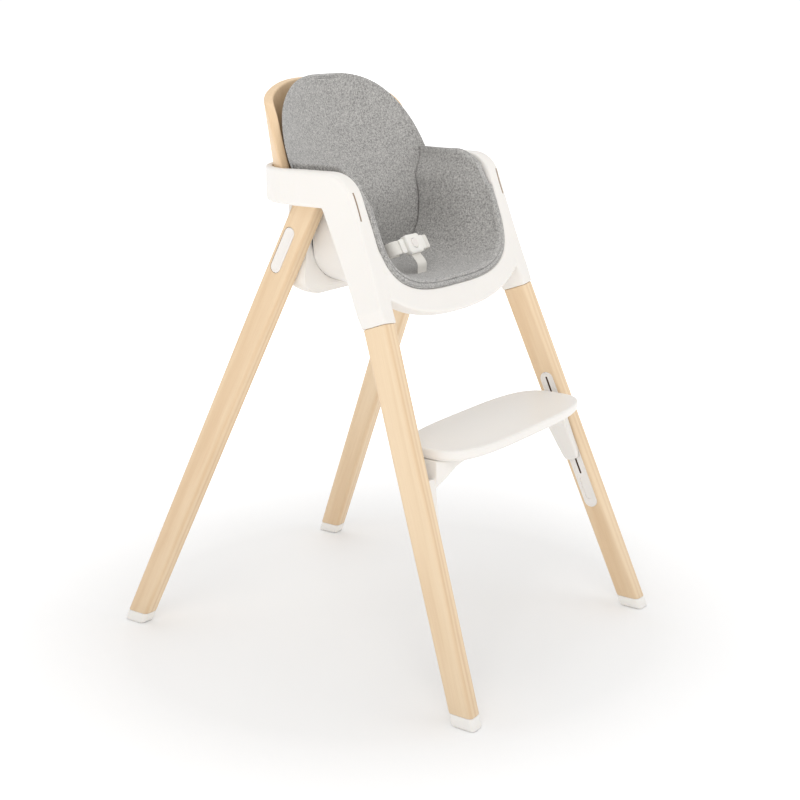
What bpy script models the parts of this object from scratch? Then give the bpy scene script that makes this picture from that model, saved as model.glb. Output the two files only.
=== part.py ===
"""Baby high chair: moulded seat on four splayed wooden legs, padded liner, sliding footrest.

Metres, +Z up.  The child faces -Y and the child's left is +X.  The origin is on the
floor at the middle of the footprint.  Left and right pieces are mirror images.
"""
import math

import bmesh
import bpy
from mathutils import Matrix, Vector

# Fits
GAP = 0.0003                    # between touching pieces
SLIDE_FIT = 0.0006              # round moving pieces

# Footprint and legs
FOOT_CAP_HEIGHT = 0.019
LEG_WIDTH = 0.028               # across the chair
LEG_CORNER = 0.007
FRONT_FOOT = Vector((0.2733, -0.3593, 0.0))    # middle of the front face, on the floor
FRONT_LEAN = Vector((-0.130, 0.3647, 1.0))     # run of the left front leg for one unit of height
REAR_FOOT = Vector((0.2704, 0.31583, 0.0))
REAR_LEAN = Vector((-0.132, -0.4407, 1.0))
LEG_DEPTH_FOOT = 0.040
LEG_DEPTH_TOP = 0.046
SOCKET_BOTTOM = 0.570           # height of the front sockets' lower end, at the front
SOCKET_PROUD = 0.0006           # the sockets' skin beyond the leg's faces
FRONT_TENON = 0.085
REAR_LEG_TOP = 0.7305

# Arm ring
ARM_TOP = 0.785
ARM_BOTTOM = 0.731
ARM_BEND_RADIUS = 0.050
FRAME_EDGE = 0.006
RING_OUTER_X = 0.209
RING_INNER_X = 0.182
RING_SIDE_RADIUS = 0.116
OPENING_HALF = 0.177            # seat opening between the uprights
OPENING_FLOOR = 0.5966
OPENING_HEIGHT = 0.110
OPENING_POWER = 3.2

# Bent plywood back
BACK_RADIUS = 0.38              # middle stretch
BACK_SIDE_RADIUS = 0.09         # sides, where it wraps forward
BACK_MIDDLE_HALF = 0.125
BACK_HALF_ARC = 0.2055          # arc length from the middle to the end, up to the arms' height
BACK_TAPER = 0.25               # by which that narrows for one unit of height above the arms
BACK_CENTRE_Y = 0.135           # mid-thickness at the arms' height
BACK_LEAN = 0.168               # rearward run for one unit of height
BACK_THICKNESS = 0.015
BACK_TOP = 0.911
BACK_TOP_HALF_ARC = 0.185       # arc length from the middle to the end of the top edge
BACK_CROWN_FALL = 0.0385        # fall of the top edge over that length
BACK_CROWN_POWER = 2.6
BACK_CORNER = 0.018             # length and height of the rounded top corners
RING_BACK_GAP = 0.0013          # between the plywood and the ring around it
BACK_BOTTOM = 0.737
BACK_SCREW_X = (-0.085, -0.030, 0.030, 0.085)
BACK_SCREW_Z = 0.757

# Liner
LINER_FRONT_HALF = 0.1765       # outer half-widths
LINER_REAR_HALF = 0.152
LINER_FRONT_THICKNESS = 0.014
LINER_SIDE_THICKNESS = 0.008
LINER_FLOOR_THICKNESS = 0.014
LINER_BACK_THICKNESS = 0.010
LINER_RIM = 0.790
LINER_SEAM = 0.0025             # between the back panel and the rest
LINER_UNDERSIDE = 0.5945        # lowest level of the liner near its rear end
LINER_BACK_HALF = 0.183
LINER_CURL = 0.15                # forward curl of the back panel per square metre of half-width
LINER_BACK_TOP = 0.917
SCOOP_SPRING = 0.74             # share of the scoop's way round where its sides turn vertical
SEAT_PANEL_REACH = 0.36         # share of the way round that the seat panel covers

# Shells
SHELL_THICKNESS = 0.0025
SHELL_CLEARANCE = 0.0012        # between the liner and the shells around it
BUCKET_END = 0.99               # share of the scoop's length that the bucket covers
BUCKET_REACH = 0.80             # share of the way round that it covers
HOUSING_FRONT = 0.0335
HOUSING_REAR = 0.108
HOUSING_FLOOR = 0.5845
HOUSING_TOP = 0.7295
HOUSING_WALL = 0.003

# Footrest
BOARD_TOP = 0.387
BOARD_THICKNESS = 0.017
BOARD_HALF_X = 0.199
BOARD_FRONT = -0.2846
BOARD_REAR = -0.1426
TRACK_START = 0.204             # along the leg, from the floor
TRACK_END = 0.456
TRACK_WIDTH = 0.025
TRACK_CENTRE = 0.0215           # behind the leg's front face
TRACK_DEPTH = 0.005
TRACK_PROUD = 0.001
SLOT_START = 0.267
SLOT_END = 0.448
SLOT_WIDTH = 0.003
BRACKET_LOW = 0.297
BRACKET_HIGH = 0.372
LOCK_ALONG = 0.345

# Harness
STRAP_WIDTH = 0.025
STRAP_THICKNESS = 0.0016
STRAP_Y = -0.070
BUCKLE_CENTRE = Vector((0.0, -0.050, 0.652))

# Steel tenons between the rear legs and the arm ring
TENON_X = (0.1755, 0.1835)
TENON_Y = (0.016, 0.036)
TENON_Z = (0.700, 0.756)

# Leg release
BUTTON_CENTRE = 0.7115          # along the rear leg, from the floor
BUTTON_LENGTH = 0.077
BUTTON_WIDTH = 0.0195
BUTTON_ACROSS = 0.028           # behind the leg's front face
BUTTON_TRAVEL = 0.006
STEM_RADIUS = 0.0035

# Finishes: base colour, roughness, metallic
FINISHES = {
    "white_plastic": ((0.92, 0.90, 0.87), 0.42, 0.0),
    "beech": ((0.86, 0.68, 0.46), 0.50, 0.0),
    "plywood": ((0.84, 0.63, 0.40), 0.50, 0.0),
    "grey_fabric": ((0.36, 0.35, 0.34), 0.95, 0.0),
    "webbing": ((0.88, 0.86, 0.82), 0.85, 0.0),
    "steel": ((0.60, 0.60, 0.60), 0.30, 1.0),
}


def clear_scene():
    """Start from an empty scene."""
    for obj in list(bpy.data.objects):
        bpy.data.objects.remove(obj, do_unlink=True)


def make_material(name, finish):
    """Principled material for one piece."""
    colour, roughness, metallic = FINISHES[finish]
    result = bpy.data.materials.new(name)
    result.use_nodes = True
    shader = result.node_tree.nodes["Principled BSDF"]
    shader.inputs["Base Color"].default_value = (*colour, 1.0)
    shader.inputs["Roughness"].default_value = roughness
    shader.inputs["Metallic"].default_value = metallic
    return result


def add_piece(name, bm, finish, matrix=None, crease=math.radians(35.0)):
    """Turn a closed bmesh into a named object with its own material."""
    bmesh.ops.remove_doubles(bm, verts=bm.verts, dist=0.00001)
    bmesh.ops.recalc_face_normals(bm, faces=bm.faces)
    mesh = bpy.data.meshes.new(name)
    bm.to_mesh(mesh)
    bm.free()
    mesh.materials.append(make_material(name + "_finish", finish))
    mesh.shade_smooth()
    mesh.set_sharp_from_angle(angle=crease)
    obj = bpy.data.objects.new(name, mesh)
    bpy.context.scene.collection.objects.link(obj)
    if matrix is not None:
        obj.matrix_world = matrix
    return obj


def add_tool(bm, matrix=None):
    """Closed body that only cuts or joins, removed after use."""
    bmesh.ops.recalc_face_normals(bm, faces=bm.faces)
    mesh = bpy.data.meshes.new("tool")
    bm.to_mesh(mesh)
    bm.free()
    obj = bpy.data.objects.new("tool", mesh)
    bpy.context.scene.collection.objects.link(obj)
    if matrix is not None:
        obj.matrix_world = matrix
    return obj


def triangulate(mesh):
    """Split a mesh's faces into triangles, so that a Boolean leaves no concave faces."""
    bm = bmesh.new()
    bm.from_mesh(mesh)
    bmesh.ops.triangulate(bm, faces=bm.faces)
    bm.to_mesh(mesh)
    bm.free()


def weld(mesh):
    """Merge points that a Boolean left within a few micrometres of each other."""
    bm = bmesh.new()
    bm.from_mesh(mesh)
    bmesh.ops.remove_doubles(bm, verts=bm.verts, dist=0.000004)
    bmesh.ops.dissolve_degenerate(bm, edges=bm.edges, dist=0.000002)
    bmesh.ops.triangulate(bm, faces=bm.faces)
    bm.to_mesh(mesh)
    bm.free()


def combine(target, tool, operation):
    """Apply an exact Boolean to a piece and remove the tool."""
    triangulate(target.data)
    triangulate(tool.data)
    bpy.context.view_layer.update()
    modifier = target.modifiers.new("combine", "BOOLEAN")
    modifier.operation = operation
    modifier.object = tool
    depsgraph = bpy.context.evaluated_depsgraph_get()
    mesh = bpy.data.meshes.new_from_object(target.evaluated_get(depsgraph))
    target.modifiers.clear()
    weld(mesh)
    target.data = mesh
    bpy.data.objects.remove(tool, do_unlink=True)


def lerp(start, end, t):
    """Value part of the way from start to end."""
    return start + (end - start) * t


def smoothstep(value, low, high):
    """Smooth rise from 0 at low to 1 at high."""
    t = min(max((value - low) / (high - low), 0.0), 1.0)
    return t * t * (3.0 - 2.0 * t)


def rounded_rectangle(x0, x1, y0, y1, radius, steps=3):
    """Corner points of a rectangle with rounded corners, anticlockwise."""
    points = []
    corners = ((x1, y1, 0), (x0, y1, 1), (x0, y0, 2), (x1, y0, 3))
    for x, y, quarter in corners:
        centre_x = x - math.copysign(radius, x - (x0 + x1) / 2)
        centre_y = y - math.copysign(radius, y - (y0 + y1) / 2)
        for step in range(steps + 1):
            angle = math.radians(90.0 * (quarter + step / steps))
            points.append((centre_x + radius * math.cos(angle), centre_y + radius * math.sin(angle)))
    return points


def pill(length, width, steps=6):
    """Outline of a slot with round ends, long way along the first axis."""
    radius = width / 2
    points = []
    for end in (1, -1):
        for step in range(steps + 1):
            angle = math.radians(-90.0 + 180.0 * step / steps)
            x = end * (length / 2 - radius + radius * math.cos(angle))
            points.append((x, end * radius * math.sin(angle)))
    return points


def loft(rings):
    """Closed body through rings of points, flat at both ends."""
    bm = bmesh.new()
    loops = [[bm.verts.new(point) for point in ring] for ring in rings]
    count = len(loops[0])
    for lower, upper in zip(loops, loops[1:]):
        for i in range(count):
            j = (i + 1) % count
            bm.faces.new((lower[i], lower[j], upper[j], upper[i]))
    bm.faces.new(loops[0][::-1])
    bm.faces.new(loops[-1])
    return bm


def slab(near_rows, far_rows):
    """Closed body between two grids of points with the same rows and columns."""
    bm = bmesh.new()
    near = [[bm.verts.new(point) for point in row] for row in near_rows]
    far = [[bm.verts.new(point) for point in row] for row in far_rows]
    rows = len(near)
    columns = len(near[0])
    for r in range(rows - 1):
        for c in range(columns - 1):
            bm.faces.new((near[r][c], near[r][c + 1], near[r + 1][c + 1], near[r + 1][c]))
            bm.faces.new((far[r][c], far[r + 1][c], far[r + 1][c + 1], far[r][c + 1]))
    border = [(0, c) for c in range(columns)]
    border += [(r, columns - 1) for r in range(1, rows)]
    border += [(rows - 1, c) for c in range(columns - 2, -1, -1)]
    border += [(r, 0) for r in range(rows - 2, 0, -1)]
    for (ra, ca), (rb, cb) in zip(border, border[1:] + border[:1]):
        bm.faces.new((near[ra][ca], far[ra][ca], far[rb][cb], near[rb][cb]))
    return bm


def box(x0, x1, y0, y1, z0, z1):
    """Closed box between two corners."""
    bottom = [(x1, y1, z0), (x0, y1, z0), (x0, y0, z0), (x1, y0, z0)]
    top = [(x, y, z1) for x, y, z in bottom]
    return loft([bottom, top])


def turned(stations, axis="X", sides=16):
    """Round body along X or Y: (position, radius) pairs, flat at both ends."""
    rings = []
    for position, radius in stations:
        ring = []
        for i in range(sides):
            angle = 2.0 * math.pi * i / sides
            a = radius * math.cos(angle)
            b = radius * math.sin(angle)
            ring.append((position, a, b) if axis == "X" else (a, position, b))
        rings.append(ring)
    return loft(rings)


def side_name(side):
    """Word for the +X or the -X side."""
    return "left" if side > 0 else "right"


def leg_matrix(foot, lean, side):
    """Placement of a leg: local X out through its outer face, local Z up along it."""
    up = Vector((side * lean.x, lean.y, lean.z)).normalized()
    out = Vector((side, 0.0, -lean.x)).normalized()
    across = up.cross(out)
    matrix = Matrix((out, across, up)).transposed().to_4x4()
    matrix.translation = Vector((side * foot.x, foot.y, foot.z))
    return matrix


def leg_depth(height):
    """Fore-and-aft depth of a leg at a height, tapering to the foot."""
    return lerp(LEG_DEPTH_FOOT, LEG_DEPTH_TOP, min(height / SOCKET_BOTTOM, 1.0))


def leg_ring(matrix, side, height, inset=0.0, level=True, corner=LEG_CORNER):
    """Ring of a leg's rounded section in local points, cut level or square to the leg."""
    half = LEG_WIDTH / 2 - inset
    depth = leg_depth(height)
    outline = rounded_rectangle(-half, half, inset, depth - inset, max(corner - inset, 0.001))
    along = height / matrix.col[2].z
    ring = []
    for x, y in outline:
        local = Vector((x, side * y, along))
        if level:
            rise = height - (matrix @ local).z
            local.z += rise / matrix.col[2].z
        ring.append(local)
    return ring


def build_foot_cap(name, foot, lean, side):
    """Cap under a leg, its lower edge rounded, with a plug that fills the leg's pocket."""
    matrix = leg_matrix(foot, lean, side)
    top = FOOT_CAP_HEIGHT - GAP
    rings = [
        leg_ring(matrix, side, 0.0, inset=0.0035),
        leg_ring(matrix, side, 0.0012, inset=0.0012),
        leg_ring(matrix, side, 0.0040),
        leg_ring(matrix, side, top),
        leg_ring(matrix, side, top, inset=0.0085),
        leg_ring(matrix, side, top + 0.012, inset=0.0085),
    ]
    return add_piece(name, loft(rings), "white_plastic", matrix)


def leg_stock(matrix, side, top_rings):
    """Rings of a leg from the pocket in its foot to the given rings at its top."""
    rings = [
        leg_ring(matrix, side, FOOT_CAP_HEIGHT + 0.013, inset=0.0080),
        leg_ring(matrix, side, FOOT_CAP_HEIGHT, inset=0.0080),
        leg_ring(matrix, side, FOOT_CAP_HEIGHT, inset=0.0004),
        leg_ring(matrix, side, FOOT_CAP_HEIGHT + 0.0006),
    ]
    rings += [leg_ring(matrix, side, height) for height in (0.16, 0.26, 0.36, 0.46)]
    return rings + top_rings


def pill_tool(centre, across, length, width, x0, x1, side):
    """Pill-shaped cutter through a leg's side face, between two local X values."""
    outline = [(side * (across + b), centre + a) for a, b in pill(length, width)]
    return loft([[(x, y, z) for y, z in outline] for x in (x0, x1)])


def build_front_leg(side):
    """Front leg with a tenon for the seat socket and a pocket for the footrest track."""
    matrix = leg_matrix(FRONT_FOOT, FRONT_LEAN, side)
    shoulder = SOCKET_BOTTOM - 2 * GAP
    tenon_top = shoulder + FRONT_TENON
    top_rings = [
        leg_ring(matrix, side, shoulder, level=False),
        leg_ring(matrix, side, shoulder, inset=0.0030, level=False),
        leg_ring(matrix, side, tenon_top, inset=0.0030, level=False),
    ]
    name = "front_leg_" + side_name(side)
    leg = add_piece(name, loft(leg_stock(matrix, side, top_rings)), "beech", matrix)
    inner = -LEG_WIDTH / 2
    pocket = pill_tool((TRACK_START + TRACK_END) / 2, TRACK_CENTRE, TRACK_END - TRACK_START + 2 * GAP,
                       TRACK_WIDTH + 2 * GAP, inner - 0.01, inner + TRACK_DEPTH + GAP, side)
    combine(leg, add_tool(pocket, matrix), "DIFFERENCE")
    return leg


def tenon_body(side, margin=0.0):
    """Flat steel tongue that joins a rear leg to the arm ring."""
    x0, x1 = sorted(side * x for x in (TENON_X[0] - margin, TENON_X[1] + margin))
    return box(x0, x1, TENON_Y[0] - margin, TENON_Y[1] + margin, TENON_Z[0] - margin, TENON_Z[1] + margin)


def build_rear_leg(side):
    """Rear leg with the release button's pocket and the latch bore through it."""
    matrix = leg_matrix(REAR_FOOT, REAR_LEAN, side)
    top_rings = [leg_ring(matrix, side, REAR_LEG_TOP - GAP)]
    name = "rear_leg_" + side_name(side)
    leg = add_piece(name, loft(leg_stock(matrix, side, top_rings)), "beech", matrix)
    outer = LEG_WIDTH / 2
    floor = outer - 0.0050 - BUTTON_TRAVEL - GAP
    pocket = pill_tool(BUTTON_CENTRE, BUTTON_ACROSS, BUTTON_LENGTH + 0.0014, BUTTON_WIDTH + 0.0014,
                       floor, outer + 0.01, side)
    combine(leg, add_tool(pocket, matrix), "DIFFERENCE")
    place = matrix @ Matrix.Translation((0.0, side * BUTTON_ACROSS, BUTTON_CENTRE))
    bore_radius = STEM_RADIUS + SLIDE_FIT
    bore = turned([(-outer - 0.005, bore_radius), (floor + 0.004, bore_radius)], sides=18)
    combine(leg, add_tool(bore, place), "DIFFERENCE")
    combine(leg, add_tool(tenon_body(side, GAP)), "DIFFERENCE")
    return leg


def build_release(side):
    """Release button, its stem, the latch plunger and their spring in a rear leg."""
    matrix = leg_matrix(REAR_FOOT, REAR_LEAN, side)
    outer = LEG_WIDTH / 2
    word = side_name(side)
    place = matrix @ Matrix.Translation((0.0, side * BUTTON_ACROSS, BUTTON_CENTRE))
    under = outer - 0.005
    rings = []
    for x, inset in ((under, 0.0), (outer - 0.0006, 0.0), (outer + 0.0004, 0.0010)):
        outline = pill(BUTTON_LENGTH - 2 * inset, BUTTON_WIDTH - 2 * inset)
        rings.append([(x, side * b, a) for a, b in outline])
    add_piece("release_button_" + word, loft(rings), "white_plastic", place)
    stem_end = -outer + BUTTON_TRAVEL
    stem = turned([(stem_end, STEM_RADIUS), (under - GAP, STEM_RADIUS)])
    add_piece("release_stem_" + word, stem, "white_plastic", place)
    plunger = turned([(-outer - 0.0085, STEM_RADIUS), (stem_end - GAP - 0.001, STEM_RADIUS),
                      (stem_end - GAP, STEM_RADIUS - 0.001)])
    add_piece("latch_plunger_" + word, plunger, "steel", place)
    start = -outer - 0.0085 - BUTTON_TRAVEL - GAP
    add_piece("latch_spring_" + word, spring_body(start, start - 0.005), "steel", place)


def spring_body(start, end, radius=0.0026, wire=0.0004, turns=3, steps=10):
    """Coil of round wire along local X between two positions."""
    direction = math.copysign(1.0, end - start)
    span = abs(end - start) - 2 * wire
    rings = []
    for i in range(turns * steps + 1):
        angle = 2.0 * math.pi * i / steps
        along = start + direction * (wire + span * i / (turns * steps))
        radial = Vector((0.0, math.cos(angle), math.sin(angle)))
        centre = Vector((along, 0.0, 0.0)) + radius * radial
        ring = []
        for k in range(5):
            turn = 2.0 * math.pi * k / 5
            ring.append(centre + wire * (math.cos(turn) * radial + math.sin(turn) * Vector((1.0, 0.0, 0.0))))
        rings.append(ring)
    return loft(rings)


def frame_line_y(z):
    """Y of the leaning plane that holds the front faces of the uprights."""
    return FRONT_FOOT.y + FRONT_LEAN.y * z


def plan_arc(angle, radius, side_radius, centre_y, join):
    """Point of a plan curve: a wide arc in the middle, a tighter one past the join angle."""
    if angle <= join:
        return Vector((radius * math.sin(angle), centre_y - radius + radius * math.cos(angle)))
    x = (radius - side_radius) * math.sin(join) + side_radius * math.sin(angle)
    y = centre_y - radius + (radius - side_radius) * math.cos(join) + side_radius * math.cos(angle)
    return Vector((x, y))


def ring_section(outer_low, outer_high, inner_high, inner_low, radius, steps=3):
    """Rounded four-sided section through four corner points."""
    corners = [outer_low, outer_high, inner_high, inner_low]
    points = []
    for i, corner in enumerate(corners):
        before = (corners[i - 1] - corner).normalized()
        after = (corners[(i + 1) % 4] - corner).normalized()
        start = corner + before * radius
        end = corner + after * radius
        for step in range(steps + 1):
            t = step / steps
            points.append((1 - t) ** 2 * start + 2 * t * (1 - t) * corner + t * t * end)
    return points


def ring_stations():
    """Sections of the right half of the ring (+X), from the socket's end to the rear middle."""
    lean = Vector((0.0, FRONT_LEAN.y, 1.0)).normalized()
    square = Vector((0.0, lean.z, -lean.y))
    bend = Vector((0.0, -0.0388, ARM_TOP - ARM_BEND_RADIUS))
    pivot = Vector((0.0, -0.029, ARM_BOTTOM))
    foot = Vector((0.0, frame_line_y(SOCKET_BOTTOM), SOCKET_BOTTOM))
    sections = []

    def add(outer_x, inner_x, front, rear, radius=FRAME_EDGE):
        corners = [Vector((x, p.y, p.z)) for x, p in
                   ((outer_x, rear), (outer_x, front), (inner_x, front), (inner_x, rear))]
        sections.append(ring_section(*corners, radius))

    matrix = leg_matrix(FRONT_FOOT, FRONT_LEAN, 1)
    along = SOCKET_BOTTOM / matrix.col[2].z
    half = LEG_WIDTH / 2 + SOCKET_PROUD
    depth = LEG_DEPTH_TOP + SOCKET_PROUD
    corners = [matrix @ Vector((x, y, along)) for x, y in
               ((half, depth), (half, -SOCKET_PROUD), (-half, -SOCKET_PROUD), (-half, depth))]
    sections.append(ring_section(*corners, FRAME_EDGE))
    rear_foot = foot + square * depth
    tangent = bend - square * ARM_BEND_RADIUS
    for t, outer_x, inner_x in ((0.12, 0.2160, 0.1835), (0.30, 0.2130, 0.1780), (0.50, 0.2108, 0.1765),
                                (0.75, 0.2095, 0.1768), (1.0, 0.2085, 0.1785)):
        add(outer_x, inner_x, foot.lerp(tangent, t), rear_foot.lerp(pivot, t))
    for step in range(1, 7):
        t = step / 6
        angle = lerp(math.atan2(-square.z, square.y), math.radians(90.0), t)
        front = bend + ARM_BEND_RADIUS * Vector((0.0, -math.cos(angle), math.sin(angle)))
        add(lerp(0.2085, RING_OUTER_X, t), lerp(0.1785, RING_INNER_X, t), front,
            pivot + Vector((0.0, 0.002 * t, 0.0)))
    for y in (-0.018, 0.004, 0.018):
        add(RING_OUTER_X, RING_INNER_X + 0.001, Vector((0, y, ARM_TOP)), Vector((0, y, ARM_BOTTOM)))
    join = math.asin(BACK_MIDDLE_HALF / BACK_RADIUS)
    inside = BACK_THICKNESS / 2 + RING_BACK_GAP
    for degrees in (75.0, 67.5, 60.0, 52.5, 45.0, 38.0, 31.0, math.degrees(join), 12.0, 6.0, 0.0):
        angle = math.radians(degrees)
        outer = plan_arc(angle, BACK_RADIUS + 0.019, RING_SIDE_RADIUS, BACK_CENTRE_Y + 0.019, join)
        inner = plan_arc(angle, BACK_RADIUS + inside, BACK_SIDE_RADIUS + inside,
                         BACK_CENTRE_Y + inside, join)
        corners = [Vector((p.x, p.y, z)) for p, z in
                   ((outer, ARM_BOTTOM), (outer, ARM_TOP), (inner, ARM_TOP), (inner, ARM_BOTTOM))]
        sections.append(ring_section(*corners, min(FRAME_EDGE, 0.0040)))
    return sections


def mirror_ring(ring):
    """Section reflected in x, keeping the point order consistent with the other half."""
    return [Vector((-p.x, p.y, p.z)) for p in ring]


def opening_height(x):
    """Height of the seat opening's lower edge."""
    share = min(abs(x) / OPENING_HALF, 1.0) ** OPENING_POWER
    return OPENING_FLOOR + OPENING_HEIGHT * (1.0 - (1.0 - share) ** (1.0 / OPENING_POWER))


def apron_body():
    """Cross rail under the seat, in the leaning plane of the uprights."""
    depth = 0.024
    lean = Vector((0.0, FRONT_LEAN.y, 1.0)).normalized()
    square = Vector((0.0, lean.z, -lean.y))
    rings = []
    for i in range(19):
        x = lerp(-0.181, 0.181, i / 18)
        low = 0.560 + 0.80 * x * x + 13.0 * x ** 4
        high = max(min(opening_height(x), 0.640), low + 0.020)
        front_low = Vector((x, frame_line_y(low), low))
        front_high = Vector((x, frame_line_y(high), high))
        rings.append(ring_section(front_low + square * depth, front_low, front_high,
                                  front_high + square * depth, 0.0045))
    return loft(rings)


def tray_slot(side):
    """Cutter for the tray's slot in the front of an arm."""
    lean = Vector((0.0, FRONT_LEAN.y, 1.0)).normalized()
    square = Vector((0.0, lean.z, -lean.y))
    centre = Vector((side * 0.2003, frame_line_y(0.737), 0.737))
    rings = []
    for along in (-0.022, 0.022):
        point = centre + lean * along
        rings.append([point + Vector((dx, 0, 0)) + square * dy for dx, dy in
                      ((-0.0014, -0.03), (0.0014, -0.03), (0.0014, 0.010), (-0.0014, 0.010))])
    return loft(rings)


def socket_cutter(side):
    """Cutter for a front leg's tenon."""
    matrix = leg_matrix(FRONT_FOOT, FRONT_LEAN, side)
    rings = []
    for height in (SOCKET_BOTTOM - 0.02, SOCKET_BOTTOM + FRONT_TENON):
        ring = leg_ring(matrix, side, height, inset=0.0027, level=False)
        rings.append([matrix @ p for p in ring])
    return loft(rings)


def build_seat_frame():
    """Arm ring, front uprights with leg sockets and the cross rail, as one moulding."""
    half = ring_stations()
    rings = half + [mirror_ring(ring) for ring in reversed(half[:-1])]
    frame = add_piece("seat_frame", loft(rings), "white_plastic")
    combine(frame, add_tool(apron_body()), "UNION")
    for side in (1, -1):
        x0, x1 = sorted((side * 0.1690, side * 0.1900))
        boss = box(x0, x1, -0.003, 0.041, ARM_BOTTOM + 0.0004, 0.758)
        combine(frame, add_tool(boss), "UNION")
        combine(frame, add_tool(tenon_body(side, GAP)), "DIFFERENCE")
        combine(frame, add_tool(socket_cutter(side)), "DIFFERENCE")
        combine(frame, add_tool(tray_slot(side)), "DIFFERENCE")
        add_piece("rear_leg_tenon_" + side_name(side), tenon_body(side), "steel")
    for x in BACK_SCREW_X:
        combine(frame, add_tool(back_screw_body(x, GAP)), "DIFFERENCE")
    return frame


def back_screw_body(x, margin=0.0):
    """Screw through the ring's rear wall into the wooden back."""
    join = math.asin(BACK_MIDDLE_HALF / BACK_RADIUS)
    angle = math.asin(abs(x) / (BACK_RADIUS + 0.019))
    face = plan_arc(angle, BACK_RADIUS + 0.019, RING_SIDE_RADIUS, BACK_CENTRE_Y + 0.019, join).y
    stations = [(face - 0.019 - margin, 0.0018 + margin), (face - 0.004, 0.0018 + margin),
                (face - 0.0038, 0.0045 + margin), (face - 0.001 + margin, 0.0045 + margin)]
    bm = turned(stations, axis="Y", sides=12)
    bmesh.ops.translate(bm, verts=bm.verts, vec=(x, 0.0, BACK_SCREW_Z))
    return bm


def back_plan(arc, offset):
    """Point of the plywood's plan at an arc length from the middle, offset outward from mid-thickness."""
    join = math.asin(BACK_MIDDLE_HALF / BACK_RADIUS)
    angle = arc / BACK_RADIUS
    if angle > join:
        angle = join + (arc - BACK_RADIUS * join) / BACK_SIDE_RADIUS
    return plan_arc(angle, BACK_RADIUS + offset, BACK_SIDE_RADIUS + offset, BACK_CENTRE_Y + offset, join)


def back_half_arc(z):
    """Arc length from the middle to the plywood's end at a height."""
    return BACK_HALF_ARC - BACK_TAPER * max(z - ARM_TOP, 0.0)


def back_top(share):
    """Height of the plywood's outline at a share of its half-length."""
    start = 1.0 - BACK_CORNER / BACK_TOP_HALF_ARC
    past = max(share - start, 0.0) / (1.0 - start)
    corner = BACK_CORNER * (1.0 - math.sqrt(max(1.0 - past * past, 0.0)))
    return BACK_TOP - BACK_CROWN_FALL * share ** BACK_CROWN_POWER - corner


def build_wood_back():
    """Bent plywood back, wrapping forward at its sides and leaning back."""
    start = 1.0 - BACK_CORNER / BACK_TOP_HALF_ARC
    shares = spread(0.0, start, 13)
    shares += [lerp(start, 1.0, math.sin(math.radians(angle))) for angle in (18, 36, 54, 72, 90)]
    shares = [-share for share in shares[:0:-1]] + shares
    grids = []
    for offset in (-BACK_THICKNESS / 2, BACK_THICKNESS / 2):
        rows = []
        for level in (0.0, 0.28, 0.52, 0.76, 1.0):
            row = []
            for share in shares:
                z = lerp(BACK_BOTTOM, back_top(abs(share)), level)
                point = back_plan(abs(share) * back_half_arc(z), offset)
                row.append(Vector((math.copysign(point.x, share), point.y + BACK_LEAN * (z - ARM_TOP), z)))
            rows.append(row)
        grids.append(rows)
    back = add_piece("wood_back", slab(*grids), "plywood")
    for x in BACK_SCREW_X:
        combine(back, add_tool(back_screw_body(x, GAP)), "DIFFERENCE")
    return back


def liner_back_y(x, z):
    """Front surface of the liner's back panel, curling forward at the sides above the arms."""
    centre = 0.067 + 0.055 * smoothstep(z, 0.70, 0.88)
    curl = LINER_CURL * x * x * smoothstep(z, 0.79, 0.86)
    return centre - (BACK_RADIUS - math.sqrt(BACK_RADIUS ** 2 - x * x)) - curl


def liner_thickness(v):
    """Thickness of the liner's sides, less beside the rear legs than at the front rim."""
    return lerp(LINER_FRONT_THICKNESS, LINER_SIDE_THICKNESS, smoothstep(v, 0.2, 0.7))


def scoop_point(around, v, offset, clearance=0.0):
    """Point of the liner's surface, or of one that clears it on the outside.

    around runs from -1 (the rim on -X) to 1; v runs from 0 at the front opening to 1
    at the back panel.  offset 0 is the inner surface and 1 the outer one.
    """
    half = lerp(LINER_FRONT_HALF, LINER_REAR_HALF, smoothstep(v, 0.0, 0.65)) + clearance
    half -= (1.0 - offset) * liner_thickness(v)
    floor = 0.613 - 0.006 * math.sin(math.pi * v) - offset * LINER_FLOOR_THICKNESS - clearance
    spring = OPENING_FLOOR + OPENING_HEIGHT
    share = abs(around)
    if share < SCOOP_SPRING:
        angle = math.radians(90.0) * share / SCOOP_SPRING
        x = half * math.sin(angle) ** (2.0 / OPENING_POWER)
        z = spring - (spring - floor) * math.cos(angle) ** (2.0 / OPENING_POWER)
    else:
        t = (share - SCOOP_SPRING) / (1.0 - SCOOP_SPRING)
        x = half
        z = lerp(spring, rim_height(v), t)
    x += 0.024 * v * smoothstep(z, 0.735, LINER_RIM)
    y = lerp(frame_line_y(z), liner_back_y(x, z) - LINER_SEAM, v)
    if z > ARM_TOP - ARM_BEND_RADIUS:
        y = max(y, -0.086 + 0.60 * (z - ARM_TOP + ARM_BEND_RADIUS) * (1.0 - v))
    return Vector((math.copysign(x, around), y, z))


def rim_height(v):
    """Height of the liner's rim along the arm."""
    return lerp(0.752, LINER_RIM, math.sin(math.radians(90.0) * min(v / 0.35, 1.0)))


def scoop_rows(around_values, v_values, offset, clearance=0.0):
    """Grid of scoop points."""
    return [[scoop_point(a, v, offset, clearance) for a in around_values] for v in v_values]


def spread(start, end, count):
    """Evenly spaced values."""
    return [lerp(start, end, i / (count - 1)) for i in range(count)]


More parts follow.
